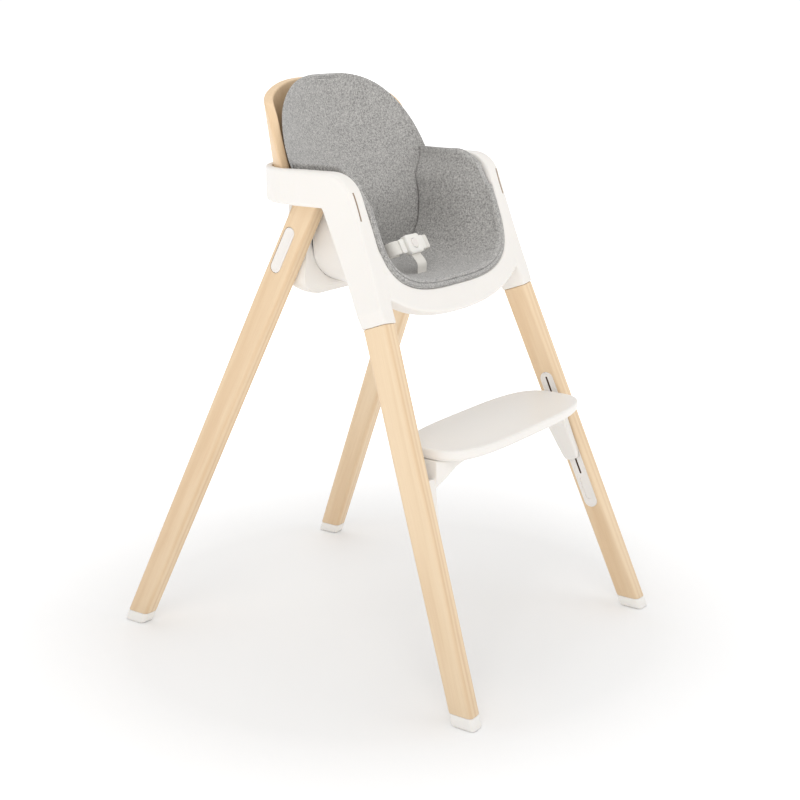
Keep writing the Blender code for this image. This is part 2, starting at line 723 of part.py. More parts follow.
def build_liner():
    """Padded liner: seat panel, two wings and the back panel, as plain closed solids."""
    v_values = spread(0.0, 1.0, 9)
    limit = SEAT_PANEL_REACH
    across = spread(-limit, limit, 13)
    seat = slab(scoop_rows(across, v_values, 0.0), scoop_rows(across, v_values, 1.0))
    seat_panel = add_piece("liner_seat", seat, "grey_fabric")
    combine(seat_panel, add_tool(strap_slot(0.0010)), "DIFFERENCE")
    for side in (1, -1):
        around = [side * a for a in spread(limit + 0.004, 1.0, 9)]
        wing = slab(scoop_rows(around, v_values, 0.0), scoop_rows(around, v_values, 1.0))
        add_piece("liner_wing_" + side_name(side), wing, "grey_fabric")
    build_liner_back()


def build_liner_back():
    """Back panel of the liner, from the seat's rear edge to its rounded top."""
    levels = [0.6035, 0.607, 0.613, 0.625, 0.640, 0.660, 0.700, 0.740, 0.765]
    levels += [LINER_BACK_TOP - drop
               for drop in (0.131, 0.107, 0.078, 0.056, 0.035, 0.018, 0.008, 0.0025, 0.0)]
    grids = [[], []]
    for z in levels:
        half = liner_back_half(z)
        xs = spread(-half, half, 15)
        grids[0].append([Vector((x, liner_back_y(x, z), z)) for x in xs])
        grids[1].append([Vector((x, liner_back_y(x, z) + liner_back_thickness(x / half), z)) for x in xs])
    add_piece("liner_back", slab(*grids), "grey_fabric")


def liner_back_thickness(share):
    """Thickness of the back panel, thinner towards its sides."""
    return LINER_BACK_THICKNESS - 0.0075 * smoothstep(abs(share), 0.5, 1.0)


def liner_back_half(z):
    """Half-width of the back panel at a height."""
    if z < 0.786:
        lower = liner_outer_half(z) - 0.004
        return lower + (LINER_BACK_HALF - LINER_REAR_HALF + 0.004) * smoothstep(z, 0.725, 0.790)
    rise = min((z - 0.786) / (LINER_BACK_TOP + 0.0005 - 0.786), 1.0)
    return LINER_BACK_HALF * (1.0 - rise ** 1.9) ** (1.0 / 2.8)


def build_bucket():
    """Thin moulded scoop around the liner, between the uprights and the rear housing."""
    v_values = spread(0.25, BUCKET_END, 7)
    around = spread(-BUCKET_REACH, BUCKET_REACH, 25)
    shell = slab(scoop_rows(around, v_values, 1.0, SHELL_CLEARANCE),
                 scoop_rows(around, v_values, 1.0, SHELL_CLEARANCE + SHELL_THICKNESS))
    bucket = add_piece("seat_bucket", shell, "white_plastic")
    behind = box(-0.25, 0.25, HOUSING_FRONT - 0.0004, 0.15, 0.55, 0.80)
    combine(bucket, add_tool(behind), "DIFFERENCE")
    combine(bucket, add_tool(strap_slot(0.0010)), "DIFFERENCE")


def strap_slot(margin):
    """Cutter for the crotch strap's slot through the liner and the bucket."""
    return box(-STRAP_WIDTH / 2 - margin, STRAP_WIDTH / 2 + margin, STRAP_Y - STRAP_THICKNESS / 2 - margin,
               STRAP_Y + STRAP_THICKNESS / 2 + margin, 0.56, 0.66)


def liner_outer_half(z):
    """Half-width of the liner's outer surface at its rear end, at a height."""
    spring = OPENING_FLOOR + OPENING_HEIGHT
    drop = min(max((spring - z) / (spring - LINER_UNDERSIDE), 0.0), 1.0)
    return LINER_REAR_HALF * (1.0 - drop ** OPENING_POWER) ** (1.0 / OPENING_POWER)


def housing_ring(z, wall=0.0, mouth=False):
    """Plan section of the rear housing, shrunk by a wall; a mouth opens its front for the liner."""
    edge = 1.0 - min((z - HOUSING_FLOOR - wall) / 0.032, 1.0)
    shrink = 0.045 * (1.0 - math.sqrt(1.0 - edge * edge))
    reach = REAR_FOOT.x + REAR_LEAN.x * z - LEG_WIDTH / 2 * math.sqrt(1 + REAR_LEAN.x ** 2)
    half = reach - 0.0010 - shrink - wall
    rear = HOUSING_REAR - 0.8 * shrink - wall
    corner = min(0.045, rear - 0.012 - (HOUSING_FRONT + wall + 0.006))
    lip = half - 0.002
    front = HOUSING_FRONT + wall
    if mouth:
        lip = min(lip, liner_outer_half(z + 0.0015) + 0.0022)
        front = HOUSING_FRONT - 0.001
    ring = [Vector((lip, front, z)), Vector((lip, HOUSING_FRONT + wall + 0.001, z)),
            Vector((half, HOUSING_FRONT + wall + 0.004, z))]
    for degrees in (0, 22, 45, 67, 90):
        angle = math.radians(degrees)
        x = half - corner * (1 - math.cos(angle))
        ring.append(Vector((x, rear - 0.012 - corner * (1 - math.sin(angle)), z)))
    ring.append(Vector((0.055, rear - 0.003, z)))
    ring.append(Vector((0.0, rear, z)))
    return ring + [Vector((-p.x, p.y, p.z)) for p in reversed(ring[:-1])]


def build_housing():
    """Rear housing between the back legs: an open-topped shell with latch bosses."""
    heights = (0.0, 0.004, 0.0085, 0.014, 0.021, 0.032, 0.070)
    outside = [housing_ring(HOUSING_FLOOR + height) for height in heights] + [housing_ring(HOUSING_TOP)]
    housing = add_piece("rear_housing", loft(outside), "white_plastic")
    floor = HOUSING_FLOOR + HOUSING_WALL
    cavity = [housing_ring(z, HOUSING_WALL) for z in (floor, floor + 0.0035, LINER_UNDERSIDE - 0.0006)]
    for height in (-0.0004, 0.0010, 0.0030, 0.0060, 0.0110, 0.0180, 0.0280, 0.0450, 0.0700):
        cavity.append(housing_ring(LINER_UNDERSIDE + height, HOUSING_WALL, mouth=True))
    cavity.append(housing_ring(HOUSING_TOP, HOUSING_WALL, mouth=True))
    cavity.append([Vector((p.x, p.y, HOUSING_TOP + 0.03)) for p in cavity[-1]])
    combine(housing, add_tool(loft(cavity)), "DIFFERENCE")
    for side in (1, -1):
        centre = Matrix.Translation((0.0, side * BUTTON_ACROSS, BUTTON_CENTRE))
        place = leg_matrix(REAR_FOOT, REAR_LEAN, side) @ centre
        face = -LEG_WIDTH / 2
        boss = turned([(face - 0.0240, 0.0085), (face - 0.0030, 0.0085)])
        combine(housing, add_tool(boss, place), "UNION")
        bore = turned([(face - 0.0215, STEM_RADIUS + SLIDE_FIT), (face + 0.010, STEM_RADIUS + SLIDE_FIT)])
        combine(housing, add_tool(bore, place), "DIFFERENCE")
    return housing


def build_track(side):
    """Footrest track: a rimmed insert in the front leg's inner face with a long slot."""
    matrix = leg_matrix(FRONT_FOOT, FRONT_LEAN, side)
    inner = -LEG_WIDTH / 2
    middle = (TRACK_START + TRACK_END) / 2
    length = TRACK_END - TRACK_START
    rings = []
    rim = inner - TRACK_PROUD
    for x, inset in ((inner + TRACK_DEPTH, 0.0), (rim + 0.0004, 0.0), (rim, 0.0005), (rim, 0.0018),
                     (inner, 0.0022)):
        outline = pill(length - 2 * inset, TRACK_WIDTH - 2 * inset)
        rings.append([(x, side * (TRACK_CENTRE + b), middle + a) for a, b in outline])
    track = add_piece("footrest_track_" + side_name(side), loft(rings), "white_plastic", matrix)
    slot = pill_tool((SLOT_START + SLOT_END) / 2, TRACK_CENTRE, SLOT_END - SLOT_START, SLOT_WIDTH,
                     inner - 0.01, inner + TRACK_DEPTH + 0.01, side)
    combine(track, add_tool(slot, matrix), "DIFFERENCE")
    return track


def board_ring(z, inset):
    """Rounded plan outline of the footrest board."""
    half_x = BOARD_HALF_X - inset
    half_y = (BOARD_REAR - BOARD_FRONT) / 2 - inset
    middle = (BOARD_REAR + BOARD_FRONT) / 2
    ring = []
    for i in range(44):
        angle = 2.0 * math.pi * i / 44
        c = math.cos(angle)
        s = math.sin(angle)
        power = 2.0 / 3.4
        x = half_x * math.copysign(abs(c) ** power, c)
        y = half_y * math.copysign(abs(s) ** power, s)
        ring.append(Vector((x, middle + y, z)))
    return ring


def build_board():
    """Footrest board: a slightly dished top over a hollow, open underside."""
    low = BOARD_TOP - BOARD_THICKNESS
    rings = [board_ring(low, 0.0060), board_ring(low + 0.0015, 0.0025), board_ring(low + 0.006, 0.0),
             board_ring(BOARD_TOP - 0.0025, 0.0), board_ring(BOARD_TOP - 0.0006, 0.0008),
             board_ring(BOARD_TOP, 0.0030), board_ring(BOARD_TOP - 0.0008, 0.0120),
             board_ring(BOARD_TOP - 0.0020, 0.0350)]
    board = add_piece("footrest_board", loft(rings), "white_plastic")
    hollow = loft([board_ring(low - 0.01, 0.0095), board_ring(low + 0.0085, 0.0095),
                   board_ring(low + 0.0105, 0.0120)])
    combine(board, add_tool(hollow), "DIFFERENCE")
    return board


def build_bracket(side):
    """Bracket under one end of the board: a tapered arm and a plate that rides on the track."""
    matrix = leg_matrix(FRONT_FOOT, FRONT_LEAN, side)
    low = BOARD_TOP - BOARD_THICKNESS - GAP
    stations = ((0.128, -0.247, -0.178, low - 0.010), (0.160, -0.245, -0.180, low - 0.016),
                (0.182, -0.240, -0.184, low - 0.030), (0.1985, -0.232, -0.191, low - 0.044))
    rings = []
    for x, y0, y1, bottom in stations:
        outline = rounded_rectangle(y0, y1, bottom, low, 0.004)
        rings.append([(side * x, y, z) for y, z in outline])
    bracket = add_piece("footrest_bracket_" + side_name(side), loft(rings), "white_plastic")
    face = -LEG_WIDTH / 2 - TRACK_PROUD - 0.0006
    plates = []
    for along, thick, y0, y1 in ((BRACKET_LOW, 0.006, 0.0160, 0.0330),
                                 (BRACKET_LOW + 0.004, 0.009, 0.0100, 0.0360),
                                 (BRACKET_LOW + 0.033, 0.013, 0.0070, 0.0390),
                                 (BRACKET_HIGH, 0.020, 0.0050, 0.0400)):
        outline = rounded_rectangle(face - thick, face, y0, y1, 0.0028)
        plates.append([(x, side * y, along) for x, y in outline])
    combine(bracket, add_tool(loft(plates), matrix), "UNION")
    seat = -LEG_WIDTH / 2 - TRACK_PROUD
    y0, y1 = sorted((side * (TRACK_CENTRE - 0.0018), side * (TRACK_CENTRE + 0.0018)))
    hole = box(seat - 0.0085, seat + 0.004, y0, y1, LOCK_ALONG - 0.0063, LOCK_ALONG + 0.0063)
    combine(bracket, add_tool(hole, matrix), "DIFFERENCE")
    pin = box(-0.0030, 0.0050, -0.0012, 0.0012, -0.0055, 0.0055)
    place = matrix @ Matrix.Translation((seat, side * TRACK_CENTRE, LOCK_ALONG))
    add_piece("footrest_lock_pin_" + side_name(side), pin, "steel", place)
    return bracket


def ribbon(points, width, thickness, across):
    """Flat strap through points, its width along the given direction."""
    rings = []
    for i, point in enumerate(points):
        before = points[max(i - 1, 0)]
        after = points[min(i + 1, len(points) - 1)]
        face = (Vector(after) - Vector(before)).cross(across).normalized()
        corners = ((1, 1), (-1, 1), (-1, -1), (1, -1))
        rings.append([Vector(point) + across * a * width / 2 + face * b * thickness / 2 for a, b in corners])
    return loft(rings)


def buckle_matrix():
    """Placement of the buckle: local Z up its height, local -Y out through its front."""
    tilt = Matrix.Rotation(math.radians(-28.0), 4, "X")
    return Matrix.Translation(BUCKLE_CENTRE) @ tilt


def build_buckle():
    """Buckle body, its release button in the front face and a tongue at each side."""
    place = buckle_matrix()
    rings = []
    for y, inset in ((-0.0070, 0.0015), (-0.0060, 0.0), (0.0060, 0.0), (0.0070, 0.0015)):
        outline = rounded_rectangle(-0.020 + inset, 0.020 - inset, -0.016 + inset, 0.016 - inset, 0.006)
        rings.append([(x, y, z) for x, z in outline])
    body = add_piece("buckle_body", loft(rings), "white_plastic", place)
    pocket = turned([(-0.010, 0.0085), (-0.0020, 0.0085)], axis="Y", sides=20)
    combine(body, add_tool(pocket, place), "DIFFERENCE")
    button = turned([(-0.0080, 0.0070), (-0.0072, 0.0080), (-0.0045, 0.0080)], axis="Y", sides=20)
    add_piece("buckle_button", button, "white_plastic", place)
    for side in (1, -1):
        x0, x1 = sorted((side * 0.0203, side * 0.0330))
        tongue = loft([[(x, y, z) for x, z in rounded_rectangle(x0, x1, -0.012, 0.012, 0.003)]
                       for y in (-0.0025, 0.0025)])
        add_piece("buckle_tongue_" + side_name(side), tongue, "white_plastic", place)


def build_harness():
    """Crotch strap with its anchor plate, buckle and waist straps."""
    place = buckle_matrix()
    top = place @ Vector((0.0, 0.0, -0.0165))
    route = [(0, STRAP_Y, 0.5905), (0, STRAP_Y, 0.612), (0, STRAP_Y + 0.0005, 0.624), top]
    strap = ribbon(route, STRAP_WIDTH, STRAP_THICKNESS, Vector((1.0, 0.0, 0.0)))
    add_piece("crotch_strap", strap, "webbing")
    anchor = box(-0.018, 0.018, STRAP_Y - 0.006, STRAP_Y + 0.006, 0.5865, 0.5895)
    add_piece("crotch_strap_anchor", anchor, "steel")
    build_buckle()
    for side, depth in ((1, 0.0145), (-1, 0.0185)):
        route = [(side * 0.0350, 0.0), (side * 0.0420, 0.0)]
        for degrees in (25, 60, 90, 120, 155):
            angle = math.radians(degrees)
            out = 0.0420 + depth / 2 * math.sin(angle)
            route.append((side * out, depth / 2 * (1.0 - math.cos(angle))))
        route += [(side * 0.0420, depth), (side * 0.0300, depth), (side * 0.0170, depth)]
        strap = ribbon([(x, y, 0.0) for x, y in route], STRAP_WIDTH - 0.003, STRAP_THICKNESS,
                       Vector((0.0, 0.0, 1.0)))
        add_piece("waist_strap_" + side_name(side), strap, "webbing", place)


def main():
    """Build every piece."""
    clear_scene()
    build_seat_frame()
    build_wood_back()
    build_bucket()
    build_housing()
    build_liner()
    build_harness()
    build_board()
    for x in BACK_SCREW_X:
        index = BACK_SCREW_X.index(x) + 1
        add_piece(f"back_screw_{index}", back_screw_body(x), "steel")
    for side in (1, -1):
        word = side_name(side)
        build_front_leg(side)
        build_rear_leg(side)
        build_foot_cap("front_foot_cap_" + word, FRONT_FOOT, FRONT_LEAN, side)
        build_foot_cap("rear_foot_cap_" + word, REAR_FOOT, REAR_LEAN, side)
        build_release(side)
        build_track(side)
        build_bracket(side)


main()
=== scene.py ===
"""Baby high chair: the finished surfaces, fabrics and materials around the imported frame.

Metres, +Z up, the child faces -Y.  Left and right pieces are mirror images in x.
"""

import math

import bmesh
import bpy
from mathutils import Matrix, Vector, noise


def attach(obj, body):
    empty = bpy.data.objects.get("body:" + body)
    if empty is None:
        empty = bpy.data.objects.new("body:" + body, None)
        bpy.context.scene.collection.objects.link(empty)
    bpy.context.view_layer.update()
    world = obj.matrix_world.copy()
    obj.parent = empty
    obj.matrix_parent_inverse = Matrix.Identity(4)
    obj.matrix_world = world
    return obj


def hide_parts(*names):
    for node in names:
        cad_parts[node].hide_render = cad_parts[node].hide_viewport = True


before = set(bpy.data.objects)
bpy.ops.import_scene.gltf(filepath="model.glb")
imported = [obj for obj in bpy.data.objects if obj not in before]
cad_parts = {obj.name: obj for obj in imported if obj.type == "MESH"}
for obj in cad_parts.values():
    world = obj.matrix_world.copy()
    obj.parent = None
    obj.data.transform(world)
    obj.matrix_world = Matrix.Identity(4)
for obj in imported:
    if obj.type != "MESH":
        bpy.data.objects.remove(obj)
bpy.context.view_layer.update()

# Sizes shared with the frame
GAP = 0.0003
LEG_WIDTH = 0.028
OUTER_FACE, INNER_FACE = LEG_WIDTH / 2, -LEG_WIDTH / 2
LEG_DEPTH = 0.046
LEG_CORNER = 0.0075
FRONT_FOOT = Vector((0.2733, -0.3593, 0.0))
FRONT_LEAN = Vector((-0.130, 0.3647, 1.0))
REAR_FOOT = Vector((0.2704, 0.31583, 0.0))
REAR_LEAN = Vector((-0.132, -0.4407, 1.0))
FOOT_CAP_HEIGHT = 0.019
SOCKET_BOTTOM = 0.570
SOCKET_PROUD = 0.0006
REAR_LEG_TOP = 0.7305
ARM_TOP = 0.785
ARM_BOTTOM = 0.731
ARM_BEND_RADIUS = 0.050
ARM_EDGE_RADIUS, BACK_EDGE_RADIUS = 0.0055, 0.0042
RING_OUTER_X = 0.209
RING_INNER_X = 0.182
RING_SIDE_RADIUS = 0.116
RING_OFFSET = 0.019
APRON_DEPTH = 0.024
TRAY_SLOT_X, TRAY_SLOT_HEIGHT = 0.2003, 0.737
SCREW_PLACES, SCREW_HEIGHT = (-0.085, -0.030, 0.030, 0.085), 0.757
OPENING_HALF = 0.177
OPENING_FLOOR = 0.5966
OPENING_HEIGHT = 0.110
OPENING_SPRING = OPENING_FLOOR + OPENING_HEIGHT
OPENING_POWER = 3.2
BACK_RADIUS = 0.38
BACK_SIDE_RADIUS = 0.09
BACK_MIDDLE_HALF = 0.125
BACK_CENTRE_Y = 0.135
BACK_LEAN = 0.168
BACK_HALF_ARC = 0.2055
BACK_TAPER = 0.25
BACK_THICKNESS = 0.015
BACK_TOP = 0.911
BACK_BOTTOM = 0.737
BACK_TOP_HALF_ARC = 0.185
BACK_CORNER = 0.018
LINER_BACK_HALF = 0.183
LINER_REAR_HALF = 0.152
LINER_BACK_TOP = 0.9165
LINER_RIM = 0.790
LINER_UNDERSIDE = 0.5945
PANEL_SHOULDER, PANEL_CROWN = 0.786, 0.9175
HOUSING_FRONT = 0.0335
HOUSING_REAR = 0.108
HOUSING_FLOOR = 0.5845
HOUSING_TOP = 0.7295
BOARD_TOP = 0.387
BOARD_THICKNESS = 0.017
BOARD_HALF_X, BOARD_FRONT, BOARD_REAR = 0.199, 0.2846, 0.1426
TRACK_START, TRACK_END = 0.204, 0.456
TRACK_MIDDLE, TRACK_LENGTH = (TRACK_START + TRACK_END) / 2, TRACK_END - TRACK_START
TRACK_WIDTH = 0.025
TRACK_CENTRE = 0.0215
TRACK_DEPTH = 0.005
TRACK_PROUD = 0.001
PIN_ALONG = 0.345
SLOT_START, SLOT_END, SLOT_WIDTH = 0.267, 0.448, 0.003
BUTTON_CENTRE, BUTTON_LENGTH, BUTTON_WIDTH, BUTTON_ACROSS = 0.7115, 0.077, 0.0195, 0.028
BUTTON_DEPTH, BUTTON_TRAVEL, BORE_RADIUS = 0.0050, 0.006, 0.0041
BUCKLE_CENTRE = Vector((0.0, -0.050, 0.652))
BUCKLE_TILT = -28.0
STRAP_Y = -0.070
JOIN = math.asin(BACK_MIDDLE_HALF / BACK_RADIUS)
LEAN = Vector((0.0, FRONT_LEAN.y, 1.0)).normalized()
SQUARE = Vector((0.0, LEAN.z, -LEAN.y))
SIDES = ((1, "left"), (-1, "right"))


# ---------------------------------------------------------------- mathematics

def lerp(start, end, t):
    """Value part of the way from start to end."""
    return start + (end - start) * t


def clamp(value, low=0.0, high=1.0):
    """Value kept between two limits."""
    return min(max(value, low), high)


def smoothstep(value, low, high):
    """Smooth rise from 0 at low to 1 at high."""
    t = clamp((value - low) / (high - low))
    return t * t * (3.0 - 2.0 * t)


def spread(start, end, count):
    """Evenly spaced values."""
    return [lerp(start, end, i / (count - 1)) for i in range(count)]


def hermite(knots, values, t):
    """Smooth curve through values at increasing knots."""
    last = len(knots) - 1
    i = 0
    while i < last - 1 and t > knots[i + 1]:
        i += 1

    def slope(k):
        low, high = max(k - 1, 0), min(k + 1, last)
        return (values[high] - values[low]) / (knots[high] - knots[low])

    span = knots[i + 1] - knots[i]
    u = (t - knots[i]) / span
    return (values[i] * (2 * u ** 3 - 3 * u * u + 1) + slope(i) * span * (u ** 3 - 2 * u * u + u)
            + values[i + 1] * (3 * u * u - 2 * u ** 3) + slope(i + 1) * span * (u ** 3 - u * u))


def resample(points, count):
    """Points at even distances along a smooth curve through the given ones."""
    knots = [0.0]
    for a, b in zip(points, points[1:]):
        knots.append(knots[-1] + (Vector(b) - Vector(a)).length)
    vectors = [Vector(p) for p in points]
    return [hermite(knots, vectors, lerp(0.0, knots[-1], i / (count - 1))) for i in range(count)]


# ------------------------------------------------------------------- materials

def shade(colour, factor):
    """Colour made darker or lighter."""
    return [c * factor for c in colour]


class Shading:
    """A new material, with short ways to add the nodes that feed its shader."""

    def __init__(self, name):
        self.material = bpy.data.materials.new(name)
        self.material.use_nodes = True
        self.tree = self.material.node_tree
        self.place = self.node("TexCoord", "Object")

    def feed(self, socket, value):
        """Link a socket to an output, or set its value."""
        if isinstance(value, bpy.types.NodeSocket):
            self.tree.links.new(value, socket)
        else:
            socket.default_value = (*value, 1.0) if socket.type == "RGBA" else value

    def node(self, kind, output=0, **settings):
        """Add a node with its properties and inputs set, and give one of its outputs."""
        item = self.tree.nodes.new("ShaderNode" + kind)
        for key, value in settings.items():
            if hasattr(item, key):
                setattr(item, key, value)
            else:
                self.feed(item.inputs[key.replace("_", " ")], value)
        return item.outputs[output]

    def math(self, operation, a, b=0.0):
        """Arithmetic on two values or outputs."""
        item = self.tree.nodes.new("ShaderNodeMath")
        item.operation = operation
        self.feed(item.inputs[0], a)
        self.feed(item.inputs[1], b)
        return item.outputs[0]

    def total(self, *terms):
        """Sum of (output, factor) pairs."""
        parts = [self.math("MULTIPLY", output, factor) for output, factor in terms]
        result = parts[0]
        for part in parts[1:]:
            result = self.math("ADD", result, part)
        return result

    def noise(self, scale, detail=2.0, roughness=0.5, distortion=0.0, vector=None):
        """Noise value between 0 and 1."""
        return self.node("TexNoise", Vector=self.place if vector is None else vector, Scale=scale,
                         Detail=detail, Roughness=roughness, Distortion=distortion)

    def ramp(self, factor, *stops):
        """Colour ramp with (position, colour) stops."""
        item = self.tree.nodes.new("ShaderNodeValToRGB")
        self.feed(item.inputs["Fac"], factor)
        elements = item.color_ramp.elements
        while len(elements) < len(stops):
            elements.new(0.5)
        for element, (position, colour) in zip(elements, stops):
            element.position = position
            element.color = (*colour, 1.0)
        return item.outputs["Color"]

    def mask(self, value, low, high):
        """Rise from black at low to white at high."""
        return self.ramp(value, (low, (0.0, 0.0, 0.0)), (high, (1.0, 1.0, 1.0)))

    def mix(self, factor, a, b):
        """Mix of two colours."""
        item = self.tree.nodes.new("ShaderNodeMix")
        item.data_type = "RGBA"
        for index, value in ((0, factor), (6, a), (7, b)):
            self.feed(item.inputs[index], value)
        return item.outputs[2]

    def tint(self, base, mask, amount, colour):
        """Lay a colour over the base, as much as a mask times an amount."""
        return self.mix(self.math("MULTIPLY", mask, amount), base, colour)

    def bump(self, strength, distance, height):
        """Surface relief."""
        return self.node("Bump", Strength=strength, Distance=distance, Height=height)

    def finish(self, **settings):
        """Set the shader's own inputs and give the material."""
        inputs = self.tree.nodes["Principled BSDF"].inputs
        for key, value in settings.items():
            self.feed(inputs[key.replace("_", " ")], value)
        return self.material


def plastic_material(name, colour, roughness, grain=0.05):
    """Moulded plastic: fine spark-eroded grain, faint flow marks and edges burnished by handling."""
    look = Shading(name)
    flow = look.noise(9.0, 3.0, 0.55, 0.6)
    fine = look.noise(2600.0, 2.0, 0.6)
    pores = look.noise(900.0, 3.0, 0.6)
    worn = look.mask(look.node("NewGeometry", "Pointiness"), 0.50, 0.58)
    base = look.mix(flow, shade(colour, 0.965), colour)
    base = look.tint(base, worn, 0.6, [min(c, 1.0) for c in shade(colour, 1.02)])
    rough = look.node("MapRange", Value=flow, From_Min=0.3, From_Max=0.7, To_Min=roughness - 0.05,
                      To_Max=roughness + 0.06)
    return look.finish(
        Base_Color=base, Roughness=look.total((rough, 1.0), (worn, -0.07)),
        Normal=look.bump(grain, 0.0004, look.total((fine, 1.0), (pores, 1.6))),
        Subsurface_Weight=0.05, Subsurface_Radius=(0.004, 0.003, 0.002), Specular_IOR_Level=0.45)


def wood_material(name, light, dark, seed, bands=0.26, plies=False):
    """Lacquered wood with grain along the object's Z axis, fine pores, flecks and a few warm streaks."""
    look = Shading(name)

    def stretch(vector, across, along):
        return look.node("Mapping", Vector=vector, Scale=(across, across, along))

    shifted = look.node("Mapping", Vector=look.place, Location=(seed * 0.37, seed * 0.21, seed * 1.3))
    grain = stretch(shifted, 26.0, 1.6)
    rings = look.node("TexWave", "Fac", Vector=grain, Scale=1.35, Distortion=5.5, Detail=3.0,
                      Detail_Scale=0.8, wave_type="BANDS", bands_direction="X")
    bend = look.noise(0.55, vector=grain)
    broad = look.noise(1.1, 3.0, 0.55, 0.8, grain)
    fibre = look.noise(4.0, 3.0, 0.6, 0.0, stretch(grain, 9.0, 2.2))
    streak = look.noise(2.6, 2.0, 0.5, 0.2, stretch(grain, 1.0, 0.55))
    fleck = look.mask(look.noise(5.0, 1.0, 0.4, 0.0, stretch(grain, 26.0, 9.0)), 0.68, 0.76)
    middle = [lerp(a, b, 0.45) for a, b in zip(light, dark)]
    tone = look.total((rings, bands), (broad, 0.55), (fibre, 0.30))
    base = look.ramp(tone, (0.36, light), (0.62, middle), (0.86, dark))
    amber = [c * factor for c, factor in zip(dark, (1.03, 0.86, 0.66))]
    base = look.tint(base, look.mask(streak, 0.70, 0.80), 0.42, amber)
    base = look.tint(base, fleck, 0.20, shade(dark, 0.72))
    base = look.tint(base, look.noise(5.0, vector=shifted), 0.12, shade(light, 1.05))
    if plies:
        layer = look.node("Attribute", "Fac", attribute_name="ply")
        wave = look.math("SINE", look.math("MULTIPLY", layer, math.tau * 5.0))
        base = look.tint(base, look.mask(wave, 0.55, 0.95), 0.07, shade(dark, 0.80))
    rough = look.node("MapRange", Value=fibre, From_Min=0.3, From_Max=0.7, To_Min=0.40, To_Max=0.52)
    relief = look.total((fibre, 0.5), (fleck, -0.5), (bend, 1.0))
    return look.finish(Base_Color=base, Roughness=rough, Normal=look.bump(0.16, 0.0004, relief),
                       Coat_Weight=0.12, Coat_Roughness=0.30)


def wool_material(name, light, dark):
    """Heathered wool felt: pale and dark fibres mixed at the scale of a millimetre, with a soft nap."""
    look = Shading(name)
    cluster = look.noise(360.0, 3.0, 0.70, 0.4)
    twisted = look.node("Mapping", Vector=look.place, Rotation=(0.4, 0.7, 0.2), Scale=(1.0, 2.4, 1.0))
    thread = look.noise(900.0, 2.0, 0.7, 0.8, twisted)
    fuzz = look.noise(2300.0, 2.0, 0.7)
    value = look.total((cluster, 0.62), (thread, 0.38))
    middle = [lerp(a, b, 0.5) for a, b in zip(light, dark)]
    base = look.ramp(value, (0.40, dark), (0.50, middle), (0.60, light))
    base = look.tint(base, look.noise(26.0), 0.16, shade(middle, 0.86))
    base = look.tint(base, fuzz, 0.20, shade(middle, 1.25))
    return look.finish(
        Base_Color=base, Normal=look.bump(0.55, 0.0011, look.total((value, 1.0), (fuzz, 0.35))),
        Roughness=0.95, Sheen_Weight=0.35, Sheen_Roughness=0.55, Sheen_Tint=(0.95, 0.95, 0.96),
        Specular_IOR_Level=0.2)


def webbing_material(name, colour):
    """Woven webbing: a herringbone of raised yarns, laid out by the strap's own length and width."""
    look = Shading(name)
    layout = look.node("UVMap", "UV", uv_map="strap")
    run, width = (look.node("SeparateXYZ", axis, Vector=layout) for axis in (0, 1))
    slant = look.math("ADD", run, look.math("ABSOLUTE", width))
    yarn = look.math("SINE", look.math("MULTIPLY", slant, math.tau / 0.0014))
    rib = look.math("SINE", look.math("MULTIPLY", width, math.tau / 0.0019))
    weave = look.math("ADD", look.total((yarn, 0.25), (rib, 0.25)), 0.5)
    base = look.mix(weave, shade(colour, 0.86), colour)
    base = look.tint(base, look.noise(70.0, 3.0, 0.6), 0.16, shade(colour, 0.88))
    return look.finish(Base_Color=base, Normal=look.bump(0.6, 0.0004, weave), Roughness=0.82,
                       Sheen_Weight=0.15)


def steel_material(name, colour, roughness):
    """Zinc-plated steel with fine drawing lines."""
    look = Shading(name)
    drawn = look.node("Mapping", Vector=look.place, Scale=(1.0, 1.0, 40.0))
    lines = look.noise(120.0, 3.0, 0.6, 0.0, drawn)
    base = look.mix(look.noise(60.0, 3.0, 0.6), colour, shade(colour, 0.84))
    rough = look.node("MapRange", Value=lines, To_Min=roughness - 0.08, To_Max=roughness + 0.10)
    return look.finish(Base_Color=base, Roughness=rough, Normal=look.bump(0.12, 0.0003, lines),
                       Metallic=1.0)


WHITE = plastic_material("moulded_white", (0.865, 0.835, 0.795), 0.40)
TRACK_WHITE = plastic_material("track_white", (0.86, 0.83, 0.795), 0.46, 0.09)
BUTTON_WHITE = plastic_material("button_white", (0.855, 0.815, 0.775), 0.42, 0.05)
# The foot caps' white is lighter than the moulding's: painted light that offsets the shade near the floor.
FOOT_WHITE = plastic_material("foot_white", (0.93, 0.905, 0.865), 0.50, 0.10)
# Beige painted shade for the insides of the arm's tray slots.
TRAY_SLOT_SHADE = plastic_material("tray_slot_painted_shade", (0.62, 0.50, 0.39), 0.55, 0.04)
# Dark brown painted shade for the walls and floor of the footrest track's slot.
TRACK_SLOT_SHADE = plastic_material("track_slot_painted_shade", (0.16, 0.085, 0.05), 0.55, 0.04)
BUCKLE_WHITE = plastic_material("buckle_white", (0.88, 0.86, 0.815), 0.38)
BEECH_LIGHT = (0.86, 0.675, 0.460)
BEECH_DARK = (0.70, 0.485, 0.285)
PLY = wood_material("plywood_back", (0.84, 0.625, 0.40), (0.68, 0.45, 0.245), 3.0, 0.06, plies=True)
WOOL = wool_material("heather_wool", (0.60, 0.585, 0.560), (0.165, 0.160, 0.155))
WEBBING = webbing_material("cream_webbing", (0.87, 0.84, 0.78))
STEEL = steel_material("zinc_steel", (0.56, 0.56, 0.55), 0.34)
SPRING_STEEL = steel_material("spring_steel", (0.45, 0.45, 0.46), 0.30)


# -------------------------------------------------------------------- mesh help

